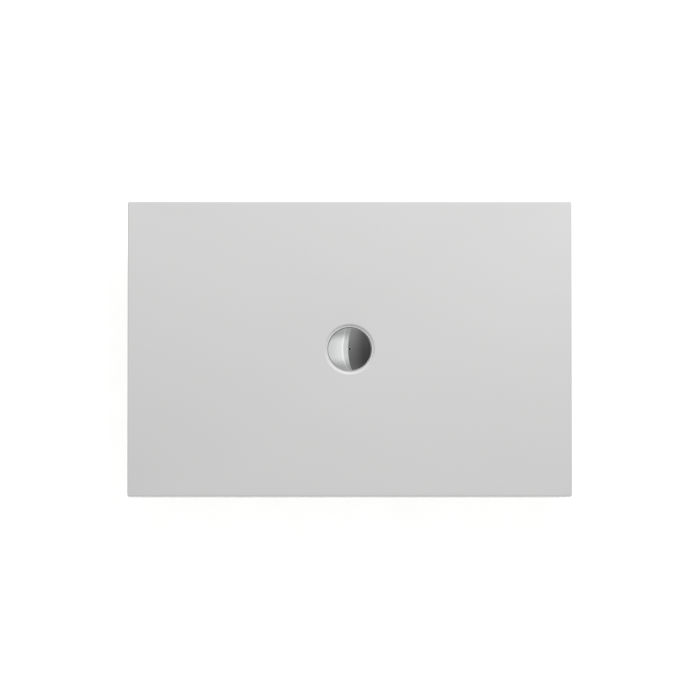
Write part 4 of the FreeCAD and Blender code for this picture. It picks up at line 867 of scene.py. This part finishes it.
def seen(nodes):
    """1 for a ray from the camera, from a glossy bounce or through glass, else 0."""
    path = nodes.add("LightPath").outputs
    either = nodes.maths("MAXIMUM", path["Is Camera Ray"], path["Is Glossy Ray"])
    return nodes.maths("MAXIMUM", either, path["Is Transmission Ray"])


def floor_surface(nodes):
    """Grey for light that bounces. Rays that the camera, a mirror or glass sends out meet a darker
    grey with a glow, so that the floor is almost white outside the shadow."""
    where = nodes.add("TexCoord").outputs["Object"]
    grain = nodes.between(nodes.noise(where, 9.0, 4.0), 0.3, 0.7, 0.985, 1.0)
    tint = nodes.add("CombineColor", Red=grain, Green=grain, Blue=grain)
    shade = nodes.add("BsdfDiffuse", Color=(0.62, 0.62, 0.62, 1))
    pale = nodes.add("BsdfDiffuse", Color=(0.34, 0.34, 0.34, 1))
    glow = nodes.add("Emission", Color=tint.outputs["Color"], Strength=FLOOR_GLOW)
    lit = nodes.add("AddShader")
    nodes.feed(lit.inputs[0], pale.outputs[0])
    nodes.feed(lit.inputs[1], glow.outputs[0])
    both = nodes.add("MixShader", Fac=seen(nodes))
    nodes.feed(both.inputs[1], shade.outputs[0])
    nodes.feed(both.inputs[2], lit.outputs[0])
    return both.outputs[0]


def card_surface(nodes):
    """What the polished cover mirrors: a pale side with one brighter streak, and a dark side beyond
    a long curved edge. The edge and the streak both bow: how far they lie to the side grows as the
    square of the distance off its middle, which lies a little to the rear."""
    middle = 0.10
    where = nodes.add("SeparateXYZ", Vector=nodes.add("TexCoord").outputs["Object"])
    x = nodes.maths("DIVIDE", where.outputs["X"], CARD_SCALE)
    y = nodes.maths("DIVIDE", where.outputs["Y"], CARD_SCALE)
    off = nodes.maths("SUBTRACT", y, middle)
    away = nodes.maths("ABSOLUTE", off)
    square = nodes.maths("MULTIPLY", off, off)

    def beyond(place, bow, lean):
        """How far a point lies beyond a bowed line that crosses the middle at place."""
        curve = nodes.maths("SUBTRACT", bow, nodes.maths("MULTIPLY", off, lean))
        bend = nodes.maths("MULTIPLY", square, curve)
        return nodes.maths("SUBTRACT", nodes.maths("SUBTRACT", x, place), bend)

    edge = beyond(place=-0.037, bow=0.33, lean=0.11)
    strip = beyond(place=-0.160, bow=0.42, lean=0.30)
    rise = nodes.between(strip, -0.026, -0.006)
    streak = nodes.maths("MULTIPLY", rise, nodes.between(strip, 0.006, 0.036, 1.0, 0.0))
    streak = nodes.maths("MULTIPLY", streak, nodes.between(away, 0.22, 0.44, 1.0, 0.35))
    level_left = nodes.between(x, -0.48, -0.16, 0.76, 0.92)
    pale = nodes.maths("MULTIPLY", level_left, nodes.between(away, 0.16, 0.42, 1.0, 0.50))
    band = nodes.between(strip, 0.0, 0.02, 0.0, 0.17)
    band = nodes.maths("MULTIPLY", band, nodes.between(away, 0.2, 0.4, 1.0, 0.3))
    pale = nodes.maths("SUBTRACT", pale, band)
    pale = nodes.maths("ADD", pale, nodes.maths("MULTIPLY", streak, 0.20))
    pale = nodes.maths("MULTIPLY", pale, nodes.between(away, 0.5, 1.1, 1.0, 0.6))
    dark = nodes.between(edge, 0.0, 0.40, 0.21, 0.075)
    dark = nodes.maths("MULTIPLY", dark, nodes.between(edge, 0.40, 0.70, 1.0, 0.25))
    dark = nodes.maths("MULTIPLY", dark, nodes.between(off, -0.35, 0.45, 0.72, 1.35))
    share = nodes.between(edge, -0.008, 0.008)
    level = nodes.add("Mix", {"data_type": "FLOAT"})
    nodes.feed(level.inputs[0], share)
    nodes.feed(level.inputs[2], pale)
    nodes.feed(level.inputs[3], dark)
    glow = nodes.add("Emission", Color=(1, 1, 1, 1), Strength=level.outputs[0])
    return glow.outputs[0]


def flat_sheet(name, corners, material):
    """A flat sheet of the stage between four corners."""
    mesh = bpy.data.meshes.new(name)
    mesh.from_pydata(corners, [], [(0, 1, 2, 3)])
    made = bpy.data.objects.new(name, mesh)
    bpy.context.collection.objects.link(made)
    mesh.materials.append(material)
    return made


def lamp(name, place, aim, across, power):
    """A round lamp, in metres and watts, that faces its aim and shows in no mirror."""
    data = bpy.data.lights.new(name, "AREA")
    data.shape, data.size, data.energy = "DISK", across, power
    made = bpy.data.objects.new(name, data)
    made.location = place
    made.rotation_euler = (Vector(aim) - Vector(place)).to_track_quat("-Z", "Y").to_euler()
    made.visible_camera = made.visible_glossy = False
    bpy.context.collection.objects.link(made)


def studio():
    """Floor, world, lamps, the card over the tray, and the camera, which looks down at 85 degrees."""
    reach = FLOOR_REACH
    floor = [(-reach, -reach, 0), (reach, -reach, 0), (reach, reach, 0), (-reach, reach, 0)]
    flat_sheet("studio_floor", floor, stage_material("studio_floor", floor_surface))
    reach, level = CARD_REACH, CARD_LEVEL
    card = [(-reach, -reach, level), (-reach, reach, level), (reach, reach, level), (reach, -reach, level)]
    card = flat_sheet("studio_card", card, stage_material("studio_card", card_surface))
    card.visible_camera = card.visible_diffuse = card.visible_shadow = False
    card.visible_transmission = False

    world = bpy.data.worlds.new("studio")
    bpy.context.scene.world = world
    world.use_nodes = True
    world.node_tree.nodes.clear()
    nodes = Nodes(world.node_tree)
    out = nodes.add("OutputWorld")
    white = nodes.add("Background", Color=(1, 1, 1, 1), Strength=1.0)
    fill = nodes.add("Background", Color=(1, 1, 1, 1), Strength=WORLD_FILL)
    both = nodes.add("MixShader", Fac=seen(nodes))
    nodes.feed(both.inputs[1], fill.outputs[0])
    nodes.feed(both.inputs[2], white.outputs[0])
    nodes.feed(out.inputs["Surface"], both.outputs[0])

    lamp("key", place=(1.36, 4.30, 3.49), aim=(0, 0, 0.15), across=1.57, power=278)
    lamp("front_fill", place=(-1.5, -7.5, 1.3), aim=(0, 0, 0.1), across=2.6, power=180)

    lens, sensor, distance, elevation = 571.0, 36.0, 30.0, math.radians(85)
    pixel = 2.700 * MM  # what one pixel of the picture spans on the tray
    aim = Vector((0.3 * pixel, -1.1 * pixel, 0.160))
    data = bpy.data.cameras.new("camera")
    data.lens, data.sensor_width = lens, sensor
    data.clip_start, data.clip_end = 0.5, 200.0
    camera = bpy.data.objects.new("camera", data)
    bpy.context.collection.objects.link(camera)
    back = Vector((0, -math.cos(elevation), math.sin(elevation)))
    camera.location = aim + back * distance
    camera.rotation_euler = (-back).to_track_quat("-Z", "Y").to_euler()
    bpy.context.scene.camera = camera
    bpy.context.scene.view_settings.view_transform = "Standard"


# ---------------------------------------------------------------- the whole tray


def carried_over():
    """Gives every CAD node its slot's finish. The pieces made after this stand for some of them."""
    slots = {row["node"]: row["material_slot"] for row in frame["record"]["subparts"]}
    for node, made in frame["nodes"].items():
        made.data.materials.clear()
        made.data.materials.append(PAINTS[slots[node]])


carried_over()
tray_skin()
waste_cover()
cover_spider()
waste_parts()
trap_pot()
union_nut()
pipe_bend()
nuts()
rail_fixings()
bracket_fixings()
for foot_name, (foot_x, foot_y) in FEET.items():
    foot(foot_name, foot_x, foot_y)
studio()
